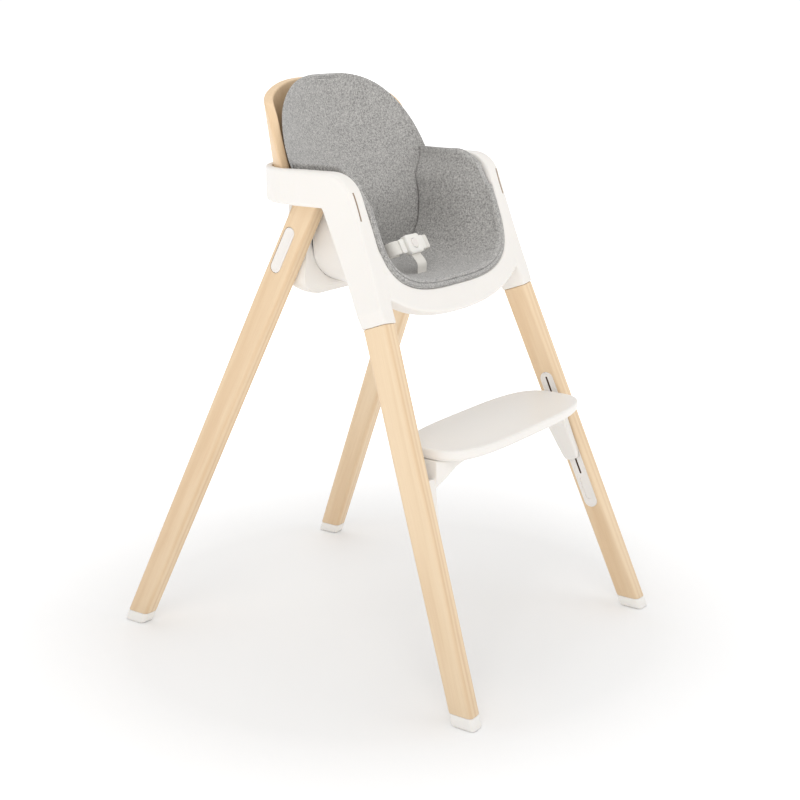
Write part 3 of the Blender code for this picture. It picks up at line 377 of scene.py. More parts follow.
def add_object(name, bm, material, matrix=None, crease=40.0):
    """Turn a bmesh into a smooth-shaded object with one material."""
    bmesh.ops.recalc_face_normals(bm, faces=bm.faces)
    mesh = bpy.data.meshes.new(name)
    bm.to_mesh(mesh)
    bm.free()
    if material is not None:
        mesh.materials.append(material)
    mesh.shade_smooth()
    mesh.set_sharp_from_angle(angle=math.radians(crease))
    obj = bpy.data.objects.new(name, mesh)
    bpy.context.scene.collection.objects.link(obj)
    if matrix is not None:
        obj.matrix_world = matrix
    return obj


def settle(obj, crease=40.0):
    """Apply an object's modifiers to its mesh."""
    bpy.context.view_layer.update()
    depsgraph = bpy.context.evaluated_depsgraph_get()
    mesh = bpy.data.meshes.new_from_object(obj.evaluated_get(depsgraph))
    obj.modifiers.clear()
    obj.data = mesh
    mesh.shade_smooth()
    mesh.set_sharp_from_angle(angle=math.radians(crease))
    return obj


def paint(obj, *materials):
    """Give a piece these materials and no others."""
    obj.data.materials.clear()
    for material in materials:
        obj.data.materials.append(material)


def finish_piece(obj, body, material_slot, *nodes, padded=None):
    """Ride on a body and stand for CAD nodes; the material slot is not used."""
    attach(obj, body)
    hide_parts(*nodes)


def boolean(target, tool, operation):
    """Exact Boolean of a piece with a tool, which is then removed."""
    modifier = target.modifiers.new("cut", "BOOLEAN")
    modifier.operation = operation
    modifier.object = tool
    modifier.solver = "EXACT"
    settle(target)
    bpy.data.objects.remove(tool, do_unlink=True)
    return target


def cut(target, body, matrix=None):
    """Cut one closed body out of a piece."""
    boolean(target, add_object("tool", body, None, matrix), "DIFFERENCE")


def remesh(obj, size, smoothing, factor=0.5):
    """Merge overlapping closed bodies into one skin and soften it."""
    modifier = obj.modifiers.new("skin", "REMESH")
    modifier.mode = "VOXEL"
    modifier.voxel_size = size
    modifier.use_smooth_shade = True
    soften = obj.modifiers.new("soften", "SMOOTH")
    soften.factor = factor
    soften.iterations = smoothing
    return settle(obj, 60.0)


def bevel(obj, width, segments=3, angle=40.0):
    """Round a piece's sharp edges."""
    modifier = obj.modifiers.new("round", "BEVEL")
    modifier.width = width
    modifier.segments = segments
    modifier.limit_method = "ANGLE"
    modifier.angle_limit = math.radians(angle)
    modifier.harden_normals = False
    return settle(obj)


def loft(rings, bm=None, caps=True):
    """Closed body through rings of points."""
    bm = bm or bmesh.new()
    loops = [[bm.verts.new(point) for point in ring] for ring in rings]
    count = len(loops[0])
    for lower, upper in zip(loops, loops[1:]):
        for i in range(count):
            j = (i + 1) % count
            bm.faces.new((lower[i], lower[j], upper[j], upper[i]))
    if caps:
        bm.faces.new(loops[0][::-1])
        bm.faces.new(loops[-1])
    return bm


def rounded_rectangle(x0, x1, y0, y1, radius, steps=6):
    """Corner points of a rectangle with rounded corners, anticlockwise."""
    points = []
    for x, y, quarter in ((x1, y1, 0), (x0, y1, 1), (x0, y0, 2), (x1, y0, 3)):
        centre_x = x - math.copysign(radius, x - (x0 + x1) / 2)
        centre_y = y - math.copysign(radius, y - (y0 + y1) / 2)
        for step in range(steps + 1):
            angle = math.radians(90.0 * (quarter + step / steps))
            points.append((centre_x + radius * math.cos(angle), centre_y + radius * math.sin(angle)))
    return points


def pill(length, width, steps=16):
    """Outline of a slot with round ends, long way along the first axis."""
    radius = width / 2
    points = []
    for end in (1, -1):
        for step in range(steps + 1):
            angle = math.radians(-90.0 + 180.0 * step / steps)
            x = end * (length / 2 - radius + radius * math.cos(angle))
            points.append((x, end * radius * math.sin(angle)))
    return points


def box_body(low, high, bm=None):
    """Closed box between two corners."""
    (x0, y0, z0), (x1, y1, z1) = low, high
    bottom = [(x1, y1, z0), (x0, y1, z0), (x0, y0, z0), (x1, y0, z0)]
    return loft([bottom, [(x, y, z1) for x, y, z in bottom]], bm)


def turned(stations, axis="X", sides=40):
    """Round body along X or Y: (position, radius) pairs."""
    rings = []
    for position, radius in stations:
        ring = []
        for i in range(sides):
            angle = math.tau * i / sides
            a, b = radius * math.cos(angle), radius * math.sin(angle)
            ring.append((position, a, b) if axis == "X" else (a, position, b))
        rings.append(ring)
    return loft(rings)


def joined(name, bodies):
    """One object out of several closed bodies, given as (bmesh, matrix or None)."""
    result = bmesh.new()
    for body, matrix in bodies:
        bmesh.ops.recalc_face_normals(body, faces=body.faces)
        mesh = bpy.data.meshes.new("part")
        body.to_mesh(mesh)
        body.free()
        if matrix is not None:
            mesh.transform(matrix)
        result.from_mesh(mesh)
        bpy.data.meshes.remove(mesh)
    return add_object(name, result, None)


def panel(point, us, vs, layers, attribute=False):
    """Closed panel: grids at the first and last layer, joined round the border by the layers between.

    point(u, v, depth, inset) places a point; layers are (depth, inset) pairs.
    """
    bm = bmesh.new()
    ply = bm.verts.layers.float.new("ply") if attribute else None

    def vertex(u, v, layer):
        item = bm.verts.new(point(u, v, *layer))
        if ply is not None:
            item[ply] = layer[0]
        return item

    near = [[vertex(u, v, layers[0]) for u in us] for v in vs]
    far = [[vertex(u, v, layers[-1]) for u in us] for v in vs]
    rows, columns = len(vs), len(us)
    for r in range(rows - 1):
        for c in range(columns - 1):
            bm.faces.new((near[r][c], near[r][c + 1], near[r + 1][c + 1], near[r + 1][c]))
            bm.faces.new((far[r][c], far[r + 1][c], far[r + 1][c + 1], far[r][c + 1]))
    border = [(0, c) for c in range(columns)]
    border += [(r, columns - 1) for r in range(1, rows)]
    border += [(rows - 1, c) for c in range(columns - 2, -1, -1)]
    border += [(r, 0) for r in range(rows - 2, 0, -1)]
    loops = [[near[r][c] for r, c in border]]
    for layer in layers[1:-1]:
        loops.append([vertex(us[c], vs[r], layer) for r, c in border])
    loops.append([far[r][c] for r, c in border])
    count = len(border)
    for a, b in zip(loops, loops[1:]):
        for i in range(count):
            j = (i + 1) % count
            bm.faces.new((a[i], b[i], b[j], a[j]))
    return bm


def round_layers(radius, thickness, steps=6):
    """Layers for a panel with a rounded edge: depth as a share, inset in metres."""
    layers = []
    for end in (0, 1):
        for step in range(steps + 1):
            angle = math.radians(90.0) * (step if end == 0 else steps - step) / steps
            inset = radius * (1.0 - math.sin(angle))
            depth = radius * (1.0 - math.cos(angle)) / thickness
            layers.append((depth if end == 0 else 1.0 - depth, inset))
    return layers


# --------------------------------------------------------------------- the legs

def leg_matrix(foot, lean, side):
    """Placement of a leg: local X out through its outer face, local Z up along it."""
    up = Vector((side * lean.x, lean.y, lean.z)).normalized()
    out = Vector((side, 0.0, -lean.x)).normalized()
    matrix = Matrix((out, up.cross(out), up)).transposed().to_4x4()
    matrix.translation = Vector((side * foot.x, foot.y, foot.z))
    return matrix


def button_place(side):
    """Placement of a release button: local X out of the rear leg's outer face."""
    matrix = leg_matrix(REAR_FOOT, REAR_LEAN, side)
    return matrix @ Matrix.Translation((0.0, side * BUTTON_ACROSS, BUTTON_CENTRE))


def leg_ring(matrix, side, height, inset=0.0, level=True, corner=LEG_CORNER):
    """Ring of a leg's rounded section in local points, cut level or square to the leg."""
    half = LEG_WIDTH / 2 - inset
    depth = lerp(0.040, 0.046, min(height / SOCKET_BOTTOM, 1.0))
    outline = rounded_rectangle(-half, half, inset, depth - inset, max(corner - inset, 0.001), 8)
    along = height / matrix.col[2].z
    ring = []
    for x, y in outline:
        local = Vector((x, side * y, along))
        if level:
            local.z += (height - (matrix @ local).z) / matrix.col[2].z
        ring.append(local)
    return ring


def leg_stock(matrix, side):
    """Rings of a leg from the pocket in its foot upwards."""
    steps = ((0.013, 0.0080), (0.0, 0.0080), (0.0, 0.0009), (GAP, 0.0003), (0.0010, 0.0))
    rings = [leg_ring(matrix, side, FOOT_CAP_HEIGHT + rise, inset) for rise, inset in steps]
    return rings + [leg_ring(matrix, side, height) for height in spread(0.05, 0.55, 18)]


def pill_tool(centre, across, length, width, x0, x1, side):
    """Pill-shaped cutter through a leg's side face, between two local X values."""
    outline = [(side * (across + b), centre + a) for a, b in pill(length, width)]
    return loft([[(x, y, z) for y, z in outline] for x in (x0, x1)])


def build_front_leg(side, word):
    """Front leg with its tenon and the pocket for the footrest track."""
    matrix = leg_matrix(FRONT_FOOT, FRONT_LEAN, side)
    shoulder = SOCKET_BOTTOM - 2 * GAP
    rings = leg_stock(matrix, side)
    for rise, inset in ((-0.0008, 0.0), (0.0, 0.0008), (0.0, 0.0030), (0.085, 0.0030)):
        rings.append(leg_ring(matrix, side, shoulder + rise, inset, False))
    wood = wood_material("beech_front_" + word, BEECH_LIGHT, BEECH_DARK, 2.0 + side)
    leg = add_object("front_leg_wood_" + word, loft(rings), wood, matrix)
    cut(leg, pill_tool(TRACK_MIDDLE, TRACK_CENTRE, TRACK_LENGTH + 2 * GAP, TRACK_WIDTH + 2 * GAP,
                       INNER_FACE - 0.01, INNER_FACE + TRACK_DEPTH + GAP, side), matrix)
    finish_piece(leg, "chair", "beech", "front_leg_" + word)


def build_rear_leg(side, word):
    """Rear leg with the release button's pocket and the bore for its stem."""
    matrix = leg_matrix(REAR_FOOT, REAR_LEAN, side)
    top = REAR_LEG_TOP - GAP
    rings = leg_stock(matrix, side)
    rings += [leg_ring(matrix, side, height) for height in spread(0.58, 0.70, 4)]
    rings += [leg_ring(matrix, side, top - 0.0008), leg_ring(matrix, side, top, 0.0008)]
    wood = wood_material("beech_rear_" + word, BEECH_LIGHT, BEECH_DARK, 7.0 + side)
    leg = add_object("rear_leg_wood_" + word, loft(rings), wood, matrix)
    floor = OUTER_FACE - BUTTON_DEPTH - BUTTON_TRAVEL - GAP
    cut(leg, pill_tool(BUTTON_CENTRE, BUTTON_ACROSS, BUTTON_LENGTH + 0.0014, BUTTON_WIDTH + 0.0014,
                       floor, OUTER_FACE + 0.01, side), matrix)
    cut(leg, turned([(INNER_FACE - 0.005, BORE_RADIUS), (floor + 0.004, BORE_RADIUS)]),
        button_place(side))
    finish_piece(leg, "chair", "beech", "rear_leg_" + word)


def build_foot_caps(side, word):
    """Rounded plastic caps on the ends of both legs."""
    top = FOOT_CAP_HEIGHT - GAP
    steps = ((0.0, 0.0052), (0.0, 0.0036), (0.0005, 0.0020), (0.0014, 0.0009), (0.0027, 0.0002),
             (0.0045, 0.0), (top - 0.0012, 0.0), (top - 0.0004, 0.0003), (top, 0.0010), (top, 0.0085),
             (top + 0.012, 0.0085))
    for name, foot, lean in (("front", FRONT_FOOT, FRONT_LEAN), ("rear", REAR_FOOT, REAR_LEAN)):
        matrix = leg_matrix(foot, lean, side)
        rings = [leg_ring(matrix, side, height, inset) for height, inset in steps]
        cap = add_object(f"{name}_foot_{word}", loft(rings), FOOT_WHITE, matrix)
        finish_piece(cap, "chair", "foot_plastic", f"{name}_foot_cap_{word}")


def build_release(side, word):
    """Crowned release button in a rear leg."""
    rings = []
    for rise, inset in ((-BUTTON_DEPTH, 0.0), (-0.0010, 0.0), (-0.0004, 0.0001), (0.0, 0.0005),
                        (0.0003, 0.0011), (0.0004, 0.0018), (0.0004, 0.0032), (0.0001, 0.0040),
                        (-0.0001, 0.0056), (-0.0001, 0.0085)):
        outline = pill(BUTTON_LENGTH - 2 * inset, BUTTON_WIDTH - 2 * inset)
        rings.append([(OUTER_FACE + rise, side * b, a) for a, b in outline])
    button = add_object("release_pad_" + word, loft(rings), BUTTON_WHITE, button_place(side), 60.0)
    finish_piece(button, "release_" + word, "button_plastic", "release_button_" + word)


# ------------------------------------------------------------ the moulded frame

def frame_line_y(z):
    """Y of the leaning plane that holds the front faces of the uprights."""
    return FRONT_FOOT.y + FRONT_LEAN.y * z


def plan_arc(angle, offset, side_radius=None):
    """Point of the back's plan: a wide arc in the middle and tighter ones at the sides."""
    radius = BACK_RADIUS + offset
    tight = BACK_SIDE_RADIUS + offset if side_radius is None else side_radius
    centre_y = BACK_CENTRE_Y + offset - radius
    if angle <= JOIN:
        return Vector((radius * math.sin(angle), centre_y + radius * math.cos(angle)))
    wide = radius - tight
    return Vector((wide * math.sin(JOIN) + tight * math.sin(angle),
                   centre_y + wide * math.cos(JOIN) + tight * math.cos(angle)))


def section(corners, radius, steps=7):
    """Rounded four-sided section through four corner points."""
    points = []
    for i, corner in enumerate(corners):
        before = (corners[i - 1] - corner).normalized()
        after = (corners[(i + 1) % 4] - corner).normalized()
        start, end = corner + before * radius, corner + after * radius
        for step in range(steps + 1):
            t = step / steps
            points.append((1 - t) ** 2 * start + 2 * t * (1 - t) * corner + t * t * end)
    return points


def cross_cut(outer_x, inner_x, front, rear):
    """Corner points of the ring's section between two widths, from a front point to a rear one."""
    return [Vector((x, p.y, p.z)) for x, p in
            ((outer_x, rear), (outer_x, front), (inner_x, front), (inner_x, rear))]


def ring_stations():
    """Corner points and edge radius of the +X half of the ring, from the socket to the rear middle."""
    bend = Vector((0.0, -0.0388, ARM_TOP - ARM_BEND_RADIUS))
    pivot = Vector((0.0, -0.029, ARM_BOTTOM))
    foot = Vector((0.0, frame_line_y(SOCKET_BOTTOM), SOCKET_BOTTOM))
    matrix = leg_matrix(FRONT_FOOT, FRONT_LEAN, 1)
    along = SOCKET_BOTTOM / matrix.col[2].z
    half, depth = OUTER_FACE + SOCKET_PROUD, LEG_DEPTH + SOCKET_PROUD
    sections = [[matrix @ Vector((x, y, along)) for x, y in
                 ((half, depth), (half, -SOCKET_PROUD), (-half, -SOCKET_PROUD), (-half, depth))]]
    rear_foot = foot + SQUARE * depth
    tangent = bend - SQUARE * ARM_BEND_RADIUS
    bend_outer_x, bend_inner_x = 0.2085, 0.1785
    for t, outer_x, inner_x in ((0.12, 0.2160, 0.1835), (0.30, 0.2130, 0.1780), (0.50, 0.2108, 0.1765),
                                (0.75, 0.2095, 0.1768), (1.0, bend_outer_x, bend_inner_x)):
        sections.append(cross_cut(outer_x, inner_x, foot.lerp(tangent, t), rear_foot.lerp(pivot, t)))
    for step in range(1, 13):
        t = step / 12
        angle = lerp(math.atan2(-SQUARE.z, SQUARE.y), math.radians(90.0), t)
        front = bend + ARM_BEND_RADIUS * Vector((0.0, -math.cos(angle), math.sin(angle)))
        sections.append(cross_cut(lerp(bend_outer_x, RING_OUTER_X, t), lerp(bend_inner_x, RING_INNER_X, t),
                                  front, pivot + Vector((0.0, 0.002 * t, 0.0))))
    for y in (-0.018, 0.004, 0.018):
        sections.append(cross_cut(RING_OUTER_X, RING_INNER_X + 0.001, Vector((0, y, ARM_TOP)),
                                  Vector((0, y, ARM_BOTTOM))))
    stations = [(corners, ARM_EDGE_RADIUS) for corners in sections]
    inside = BACK_THICKNESS / 2 + 0.0013
    for degrees in (75.0, 71.0, 67.5, 64.0, 60.0, 56.0, 52.5, 49.0, 45.0, 41.5, 38.0, 34.5, 31.0, 25.0,
                    math.degrees(JOIN), 15.5, 12.0, 9.0, 6.0, 3.0, 0.0):
        outer = plan_arc(math.radians(degrees), RING_OFFSET, RING_SIDE_RADIUS)
        inner = plan_arc(math.radians(degrees), inside)
        corners = [Vector((p.x, p.y, z)) for p, z in
                   ((outer, ARM_BOTTOM), (outer, ARM_TOP), (inner, ARM_TOP), (inner, ARM_BOTTOM))]
        stations.append((corners, BACK_EDGE_RADIUS))
    return stations


def ring_body():
    """Whole arm ring with both uprights, as a dense loft."""
    half = [section(corners, radius) for corners, radius in ring_stations()]
    rings = half + [[Vector((-p.x, p.y, p.z)) for p in ring] for ring in reversed(half[:-1])]
    return loft(rings)


def opening_height(x):
    """Height of the seat opening's lower edge."""
    share = min(abs(x) / OPENING_HALF, 1.0) ** OPENING_POWER
    return OPENING_FLOOR + OPENING_HEIGHT * (1.0 - (1.0 - share) ** (1.0 / OPENING_POWER))


def apron_body():
    """Cross rail under the seat, in the leaning plane of the uprights."""
    rings = []
    for x in spread(-0.181, 0.181, 61):
        low = 0.560 + 0.80 * x * x + 13.0 * x ** 4
        high = max(min(opening_height(x), 0.640), low + 0.020)
        front_low, front_high = (Vector((x, frame_line_y(z), z)) for z in (low, high))
        rings.append(section([front_low + SQUARE * APRON_DEPTH, front_low, front_high,
                              front_high + SQUARE * APRON_DEPTH], 0.0045))
    return loft(rings)


def rim_height(v):
    """Height of the liner's rim along the arm."""
    return lerp(0.752, LINER_RIM, math.sin(math.radians(90.0) * clamp(v / 0.35, -1.0)))


def liner_back_y(x, z):
    """Front surface of the liner's back panel."""
    centre = 0.067 + 0.055 * smoothstep(z, 0.70, 0.88)
    curl = 0.15 * x * x * smoothstep(z, 0.79, 0.86)
    return centre - (BACK_RADIUS - math.sqrt(BACK_RADIUS ** 2 - x * x)) - curl


def scoop_point(around, v, offset, clearance=0.0):
    """Point of the liner, inside (offset 0) or outside (1): around it from -1 to 1, v from front to back."""
    thickness = lerp(0.014, 0.008, smoothstep(v, 0.2, 0.7))
    half = lerp(0.1765, LINER_REAR_HALF, smoothstep(v, 0.0, 0.65)) + clearance - (1.0 - offset) * thickness
    floor = 0.613 - 0.006 * math.sin(math.pi * v) - offset * 0.014 - clearance
    share, lower = abs(around), 0.74
    if share < lower:
        angle = math.radians(90.0) * share / lower
        x = half * math.sin(angle) ** (2.0 / OPENING_POWER)
        z = OPENING_SPRING - (OPENING_SPRING - floor) * math.cos(angle) ** (2.0 / OPENING_POWER)
    else:
        x = half
        z = lerp(OPENING_SPRING, rim_height(v), (share - lower) / 0.26)
    x += 0.024 * v * smoothstep(z, 0.735, LINER_RIM)
    y = lerp(frame_line_y(z), liner_back_y(x, z) - 0.0025, v)
    if z > ARM_TOP - ARM_BEND_RADIUS:
        y = max(y, -0.086 + 0.60 * (z - ARM_TOP + ARM_BEND_RADIUS) * (1.0 - v))
    return Vector((math.copysign(x, around), y, z))


def collar_body():
    """Lip of the frame that follows the liner's front edge round the opening."""
    rings, width = [], 0.0120
    centre = Vector((0.0, frame_line_y(0.70), 0.70))
    for around in spread(-0.84, 0.84, 91):
        sink = 0.0004 + 0.011 * smoothstep(abs(around), 0.62, 0.82)
        inner = scoop_point(around, 0.0, 1.0, 0.0003)
        out = inner - centre
        out -= SQUARE * out.dot(SQUARE)
        ahead = scoop_point(min(around + 0.01, 0.99), 0.0, 1.0)
        behind = scoop_point(max(around - 0.01, -0.99), 0.0, 1.0)
        along = (ahead - behind).normalized()
        out = (out - along * out.dot(along)).normalized()
        point = inner - SQUARE * (inner - centre).dot(SQUARE) + SQUARE * sink
        inside = scoop_point(around, 0.14, 1.0, 0.0006)
        rings.append(section([inside + out * width, point + out * width, point, inside], 0.0022, 4))
    return loft(rings)


def tray_slot(side):
    """Cutter for the tray's slot in the front of an arm."""
    rings, half_length, half_width = [], 0.022, 0.0017
    for along in spread(-half_length, half_length, 9):
        bow = 0.0010 * (1.0 - (along / half_length) ** 2)
        point = Vector((side * (TRAY_SLOT_X - bow), frame_line_y(TRAY_SLOT_HEIGHT), TRAY_SLOT_HEIGHT))
        point += LEAN * along
        corners = ((-half_width, -0.03), (half_width, -0.03), (half_width, 0.010), (-half_width, 0.010))
        rings.append([point + Vector((dx, 0, 0)) + SQUARE * dy for dx, dy in corners])
    return loft(rings)


def socket_cutter(side):
    """Cutter for a front leg's tenon."""
    matrix = leg_matrix(FRONT_FOOT, FRONT_LEAN, side)
    return loft([[matrix @ p for p in leg_ring(matrix, side, height, 0.0027, False)]
                 for height in (SOCKET_BOTTOM - 0.02, SOCKET_BOTTOM + 0.085)])


def screw_cutter(x):
    """Cutter for a back screw and its head's recess."""
    angle = math.asin(abs(x) / (BACK_RADIUS + RING_OFFSET))
    face = plan_arc(angle, RING_OFFSET, RING_SIDE_RADIUS).y
    bm = turned([(face - 0.0193, 0.0021), (face - 0.004, 0.0021), (face - 0.0038, 0.0048),
                 (face + 0.003, 0.0048)], "Y", 28)
    bmesh.ops.translate(bm, verts=bm.verts, vec=(x, 0.0, SCREW_HEIGHT))
    return bm


def build_frame():
    """Arm ring, uprights, cross rail and opening lip as one soft-edged moulding."""
    shell = joined("frame_moulding", [(ring_body(), None), (apron_body(), None), (collar_body(), None)])
    remesh(shell, 0.0014, 5)
    cutters = [(tray_slot(side), None) for side in (1, -1)]
    cutters += [(socket_cutter(side), None) for side in (1, -1)]
    cutters += [(screw_cutter(x), None) for x in SCREW_PLACES]
    boolean(shell, joined("tool", cutters), "DIFFERENCE")
    paint(shell, WHITE, TRAY_SLOT_SHADE)
    # Faces inside the tray slots take the beige painted shade.
    for polygon in shell.data.polygons:
        place, normal = polygon.center, polygon.normal
        behind = place.y - frame_line_y(place.z)
        if 0.0012 < behind < 0.013 and abs(place.z - TRAY_SLOT_HEIGHT) < 0.0205 \
                and 0.1965 < abs(place.x) < 0.2025 and abs(normal.x) - normal.y > 0.6:
            polygon.material_index = 1
    finish_piece(shell, "chair", "white_moulding", "seat_frame")


# ------------------------------------------------------------- bucket and housing

def build_bucket():
    """Thin moulded scoop around the liner."""
    thickness = 0.0025

    def point(u, v, depth, inset):
        return scoop_point(u * (1.0 - inset / 0.28), lerp(0.25 + inset / 0.2, 0.99, v), 1.0,
                           0.0012 + thickness * depth)

    bm = panel(point, spread(-0.80, 0.80, 121), spread(0.0, 1.0, 31), round_layers(0.0011, thickness, 4))
    bucket = add_object("bucket_shell", bm, WHITE)
    cut(bucket, box_body((-0.25, HOUSING_FRONT - 0.0004, 0.55), (0.25, 0.15, 0.80)))
    cut(bucket, box_body((-0.0135, STRAP_Y - 0.0018, 0.56), (0.0135, STRAP_Y + 0.0018, 0.66)))
    finish_piece(bucket, "chair", "white_moulding", "seat_bucket")


def liner_outer_half(z):
    """Half-width of the liner's outer surface at its rear end, at a height."""
    drop = clamp((OPENING_SPRING - z) / (OPENING_SPRING - LINER_UNDERSIDE))
    return LINER_REAR_HALF * (1.0 - drop ** OPENING_POWER) ** (1.0 / OPENING_POWER)


def housing_ring(z, wall=0.0, mouth=False):
    """Plan section of the rear housing, shrunk by a wall; a mouth opens its front for the liner."""
    edge = 1.0 - clamp((z - HOUSING_FLOOR - wall) / 0.032)
    shrink = 0.045 * (1.0 - math.sqrt(1.0 - edge * edge))
    reach = REAR_FOOT.x + REAR_LEAN.x * z - LEG_WIDTH / 2 * math.sqrt(1 + REAR_LEAN.x ** 2)
    half = reach - 0.0010 - shrink - wall
    front = HOUSING_FRONT + wall
    rear = HOUSING_REAR - 0.8 * shrink - wall
    shoulder = rear - 0.012
    corner = min(0.045, shoulder - (front + 0.006))
    lip, lip_y = half - 0.002, front
    if mouth:
        lip = min(lip, liner_outer_half(z + 0.0015) + 0.0022)
        lip_y = HOUSING_FRONT - 0.001
    ring = [Vector((lip, lip_y, z)), Vector((lip, front + 0.001, z)), Vector((half, front + 0.004, z))]
    for degrees in spread(0.0, 90.0, 15):
        angle = math.radians(degrees)
        ring.append(Vector((half - corner * (1 - math.cos(angle)),
                            shoulder - corner * (1 - math.sin(angle)), z)))
    start = ring[-1].x
    for x in (start * share for share in spread(0.9, 0.0, 9)):
        ring.append(Vector((x, rear - 0.012 * smoothstep(x, 0.0, start) ** 1.2, z)))
    return ring + [Vector((-p.x, p.y, p.z)) for p in reversed(ring[:-1])]


def build_housing():
    """Rear housing between the back legs: an open-topped shell with a rounded rim."""
    heights = [0.0, 0.0006, 0.0015, 0.003, 0.005, 0.0075, 0.0105, 0.014, 0.018, 0.0225, 0.0275, 0.032]
    rings = [housing_ring(HOUSING_FLOOR + height) for height in heights]
    rings += [housing_ring(z) for z in spread(0.64, HOUSING_TOP, 7)]
    housing = add_object("housing_shell", loft(rings), WHITE)
    wall = 0.003
    floor = HOUSING_FLOOR + wall
    cavity = [housing_ring(z, wall) for z in (floor, floor + 0.0035, LINER_UNDERSIDE - 0.0006)]
    for height in (-0.0004, 0.0010, 0.0030, 0.0060, 0.0110, 0.0180, 0.0280, 0.0450, 0.0700):
        cavity.append(housing_ring(LINER_UNDERSIDE + height, wall, mouth=True))
    cavity.append(housing_ring(HOUSING_TOP, wall, mouth=True))
    cavity.append([Vector((p.x, p.y, HOUSING_TOP + 0.03)) for p in cavity[-1]])
    cut(housing, loft(cavity))
    bosses, bores = [], []
    for side, _ in SIDES:
        boss = turned([(INNER_FACE - 0.0240, 0.0078), (INNER_FACE - 0.0234, 0.0085),
                       (INNER_FACE - 0.0030, 0.0085)])
        bore = turned([(INNER_FACE - 0.0215, BORE_RADIUS), (INNER_FACE + 0.010, BORE_RADIUS)])
        bosses.append((boss, button_place(side)))
        bores.append((bore, button_place(side)))
    boolean(housing, joined("tool", bosses), "UNION")
    boolean(housing, joined("tool", bores), "DIFFERENCE")
    bevel(housing, 0.0007, 2, 50.0)
    finish_piece(housing, "chair", "white_moulding", "rear_housing")


# ------------------------------------------------------------------ wooden back

def back_top(share):
    """Height of the plywood's outline at a share of its half-length."""
    start = 1.0 - BACK_CORNER / BACK_TOP_HALF_ARC
    past = max(share - start, 0.0) / (1.0 - start)
    corner = BACK_CORNER * (1.0 - math.sqrt(max(1.0 - past * past, 0.0)))
    return BACK_TOP - 0.0385 * share ** 2.6 - corner


def build_wood_back():
    """Bent plywood back with rounded edges."""
    def point(u, v, depth, inset):
        share = abs(u)
        z = lerp(BACK_BOTTOM + inset, back_top(share) - inset, v)
        arc = share * (BACK_HALF_ARC - BACK_TAPER * max(z - ARM_TOP, 0.0) - inset)
        angle = arc / BACK_RADIUS
        if angle > JOIN:
            angle = JOIN + (arc - BACK_RADIUS * JOIN) / BACK_SIDE_RADIUS
        flat = plan_arc(angle, (depth - 0.5) * BACK_THICKNESS)
        return Vector((math.copysign(flat.x, u), flat.y + BACK_LEAN * (z - ARM_TOP), z))

    start = 1.0 - BACK_CORNER / BACK_TOP_HALF_ARC
    shares = spread(0.0, start, 46)
    shares += [lerp(start, 1.0, math.sin(math.radians(angle))) for angle in range(8, 91, 8)] + [1.0]
    us = [-share for share in shares[:0:-1]] + shares
    bm = panel(point, us, spread(0.0, 1.0, 41), round_layers(0.0030, BACK_THICKNESS, 6), True)
    back = add_object("plywood_panel", bm, PLY, None, 60.0)
    boolean(back, joined("tool", [(screw_cutter(x), None) for x in SCREW_PLACES]), "DIFFERENCE")
    finish_piece(back, "chair", "plywood", "wood_back")


# ---------------------------------------------------------------- padded liner

def seam_layers(thickness, border, stitch):
    """Layers of a padded edge: soft face, piped seam, bulging border band and back."""
    steps = ((0.0, 0.0060), (-0.0005, 0.0042), (-0.0004, 0.0026), (0.0006, 0.0017), (stitch, 0.0013),
             (0.0003, 0.0008), (-0.0003, 0.0002), (0.0, -0.0005), (stitch, -0.0010), (0.0009, -0.0018))
    return [(depth / thickness, border + inset) for depth, inset in steps]


def rolled_layers():
    """Layers of the bound front edge: fabric rolled over the padding, a sunk seam, then the border band."""
    return [(0.0, 0.0100), (-0.02, 0.0072), (0.0, 0.0045), (0.05, 0.0022), (0.12, 0.0006), (0.20, -0.0004),
            (0.28, -0.0009), (0.345, -0.0007), (0.375, 0.0000), (0.395, 0.0012), (0.415, 0.0012),
            (0.435, 0.0001), (0.47, -0.0006), (0.55, -0.0010), (0.66, -0.0012), (0.76, -0.0010),
            (0.795, -0.0004), (0.815, 0.0004), (0.835, -0.0003), (0.87, -0.0006), (0.93, 0.0000),
            (0.975, 0.0012), (1.0, 0.0028)]


def soft(point, amount, scale, seed):
    """Small smooth offset that makes stuffed fabric uneven."""
    return amount * noise.noise(Vector(point) * scale + Vector((seed, seed * 0.7, -seed)))


def liner_surface(u, v, depth, inset):
    """Point of the padded scoop: u round it from rim to rim, v from front to back."""
    reach, length = 0.29, 0.185
    around = u * (1.0 - inset / reach)
    along = v + inset / length * (1.0 - 2.0 * v)
    inner = scoop_point(around, along, 0.0)
    outer = scoop_point(around, along, 1.0)
    point = inner.lerp(outer, depth)
    if depth > 0.5:
        return point
    out = (outer - inner).normalized()
    middle = smoothstep(min(along, 1.0 - along) * length, 0.004, 0.045) * \
        smoothstep((1.0 - abs(around)) * reach, 0.004, 0.045)
    puff = -0.0012 * middle
    puff += soft(inner, 0.0016, 22.0, 3.0) * middle
    fold = math.exp(-((abs(around) - 0.47) / 0.10) ** 2) * smoothstep(along, 0.35, 0.95)
    puff += 0.0016 * fold * math.sin(abs(around) * 46.0 + along * 9.0 + 2.0 * noise.noise(inner * 14.0))
    return point + out * puff


def build_liner():
    """Seat and wings of the liner as one padded shell with a bound front edge."""
    us = spread(-1.0, 1.0, 241)
    vs = [0.0, 0.008, 0.018] + spread(0.03, 0.97, 74) + [0.982, 0.992, 1.0]
    shell = add_object("liner_shell", panel(liner_surface, us, vs, rolled_layers()), WOOL, None, 75.0)
    finish_piece(shell, "chair", "liner_fabric", "liner_seat", "liner_wing_left", "liner_wing_right",
                 padded=0.75)


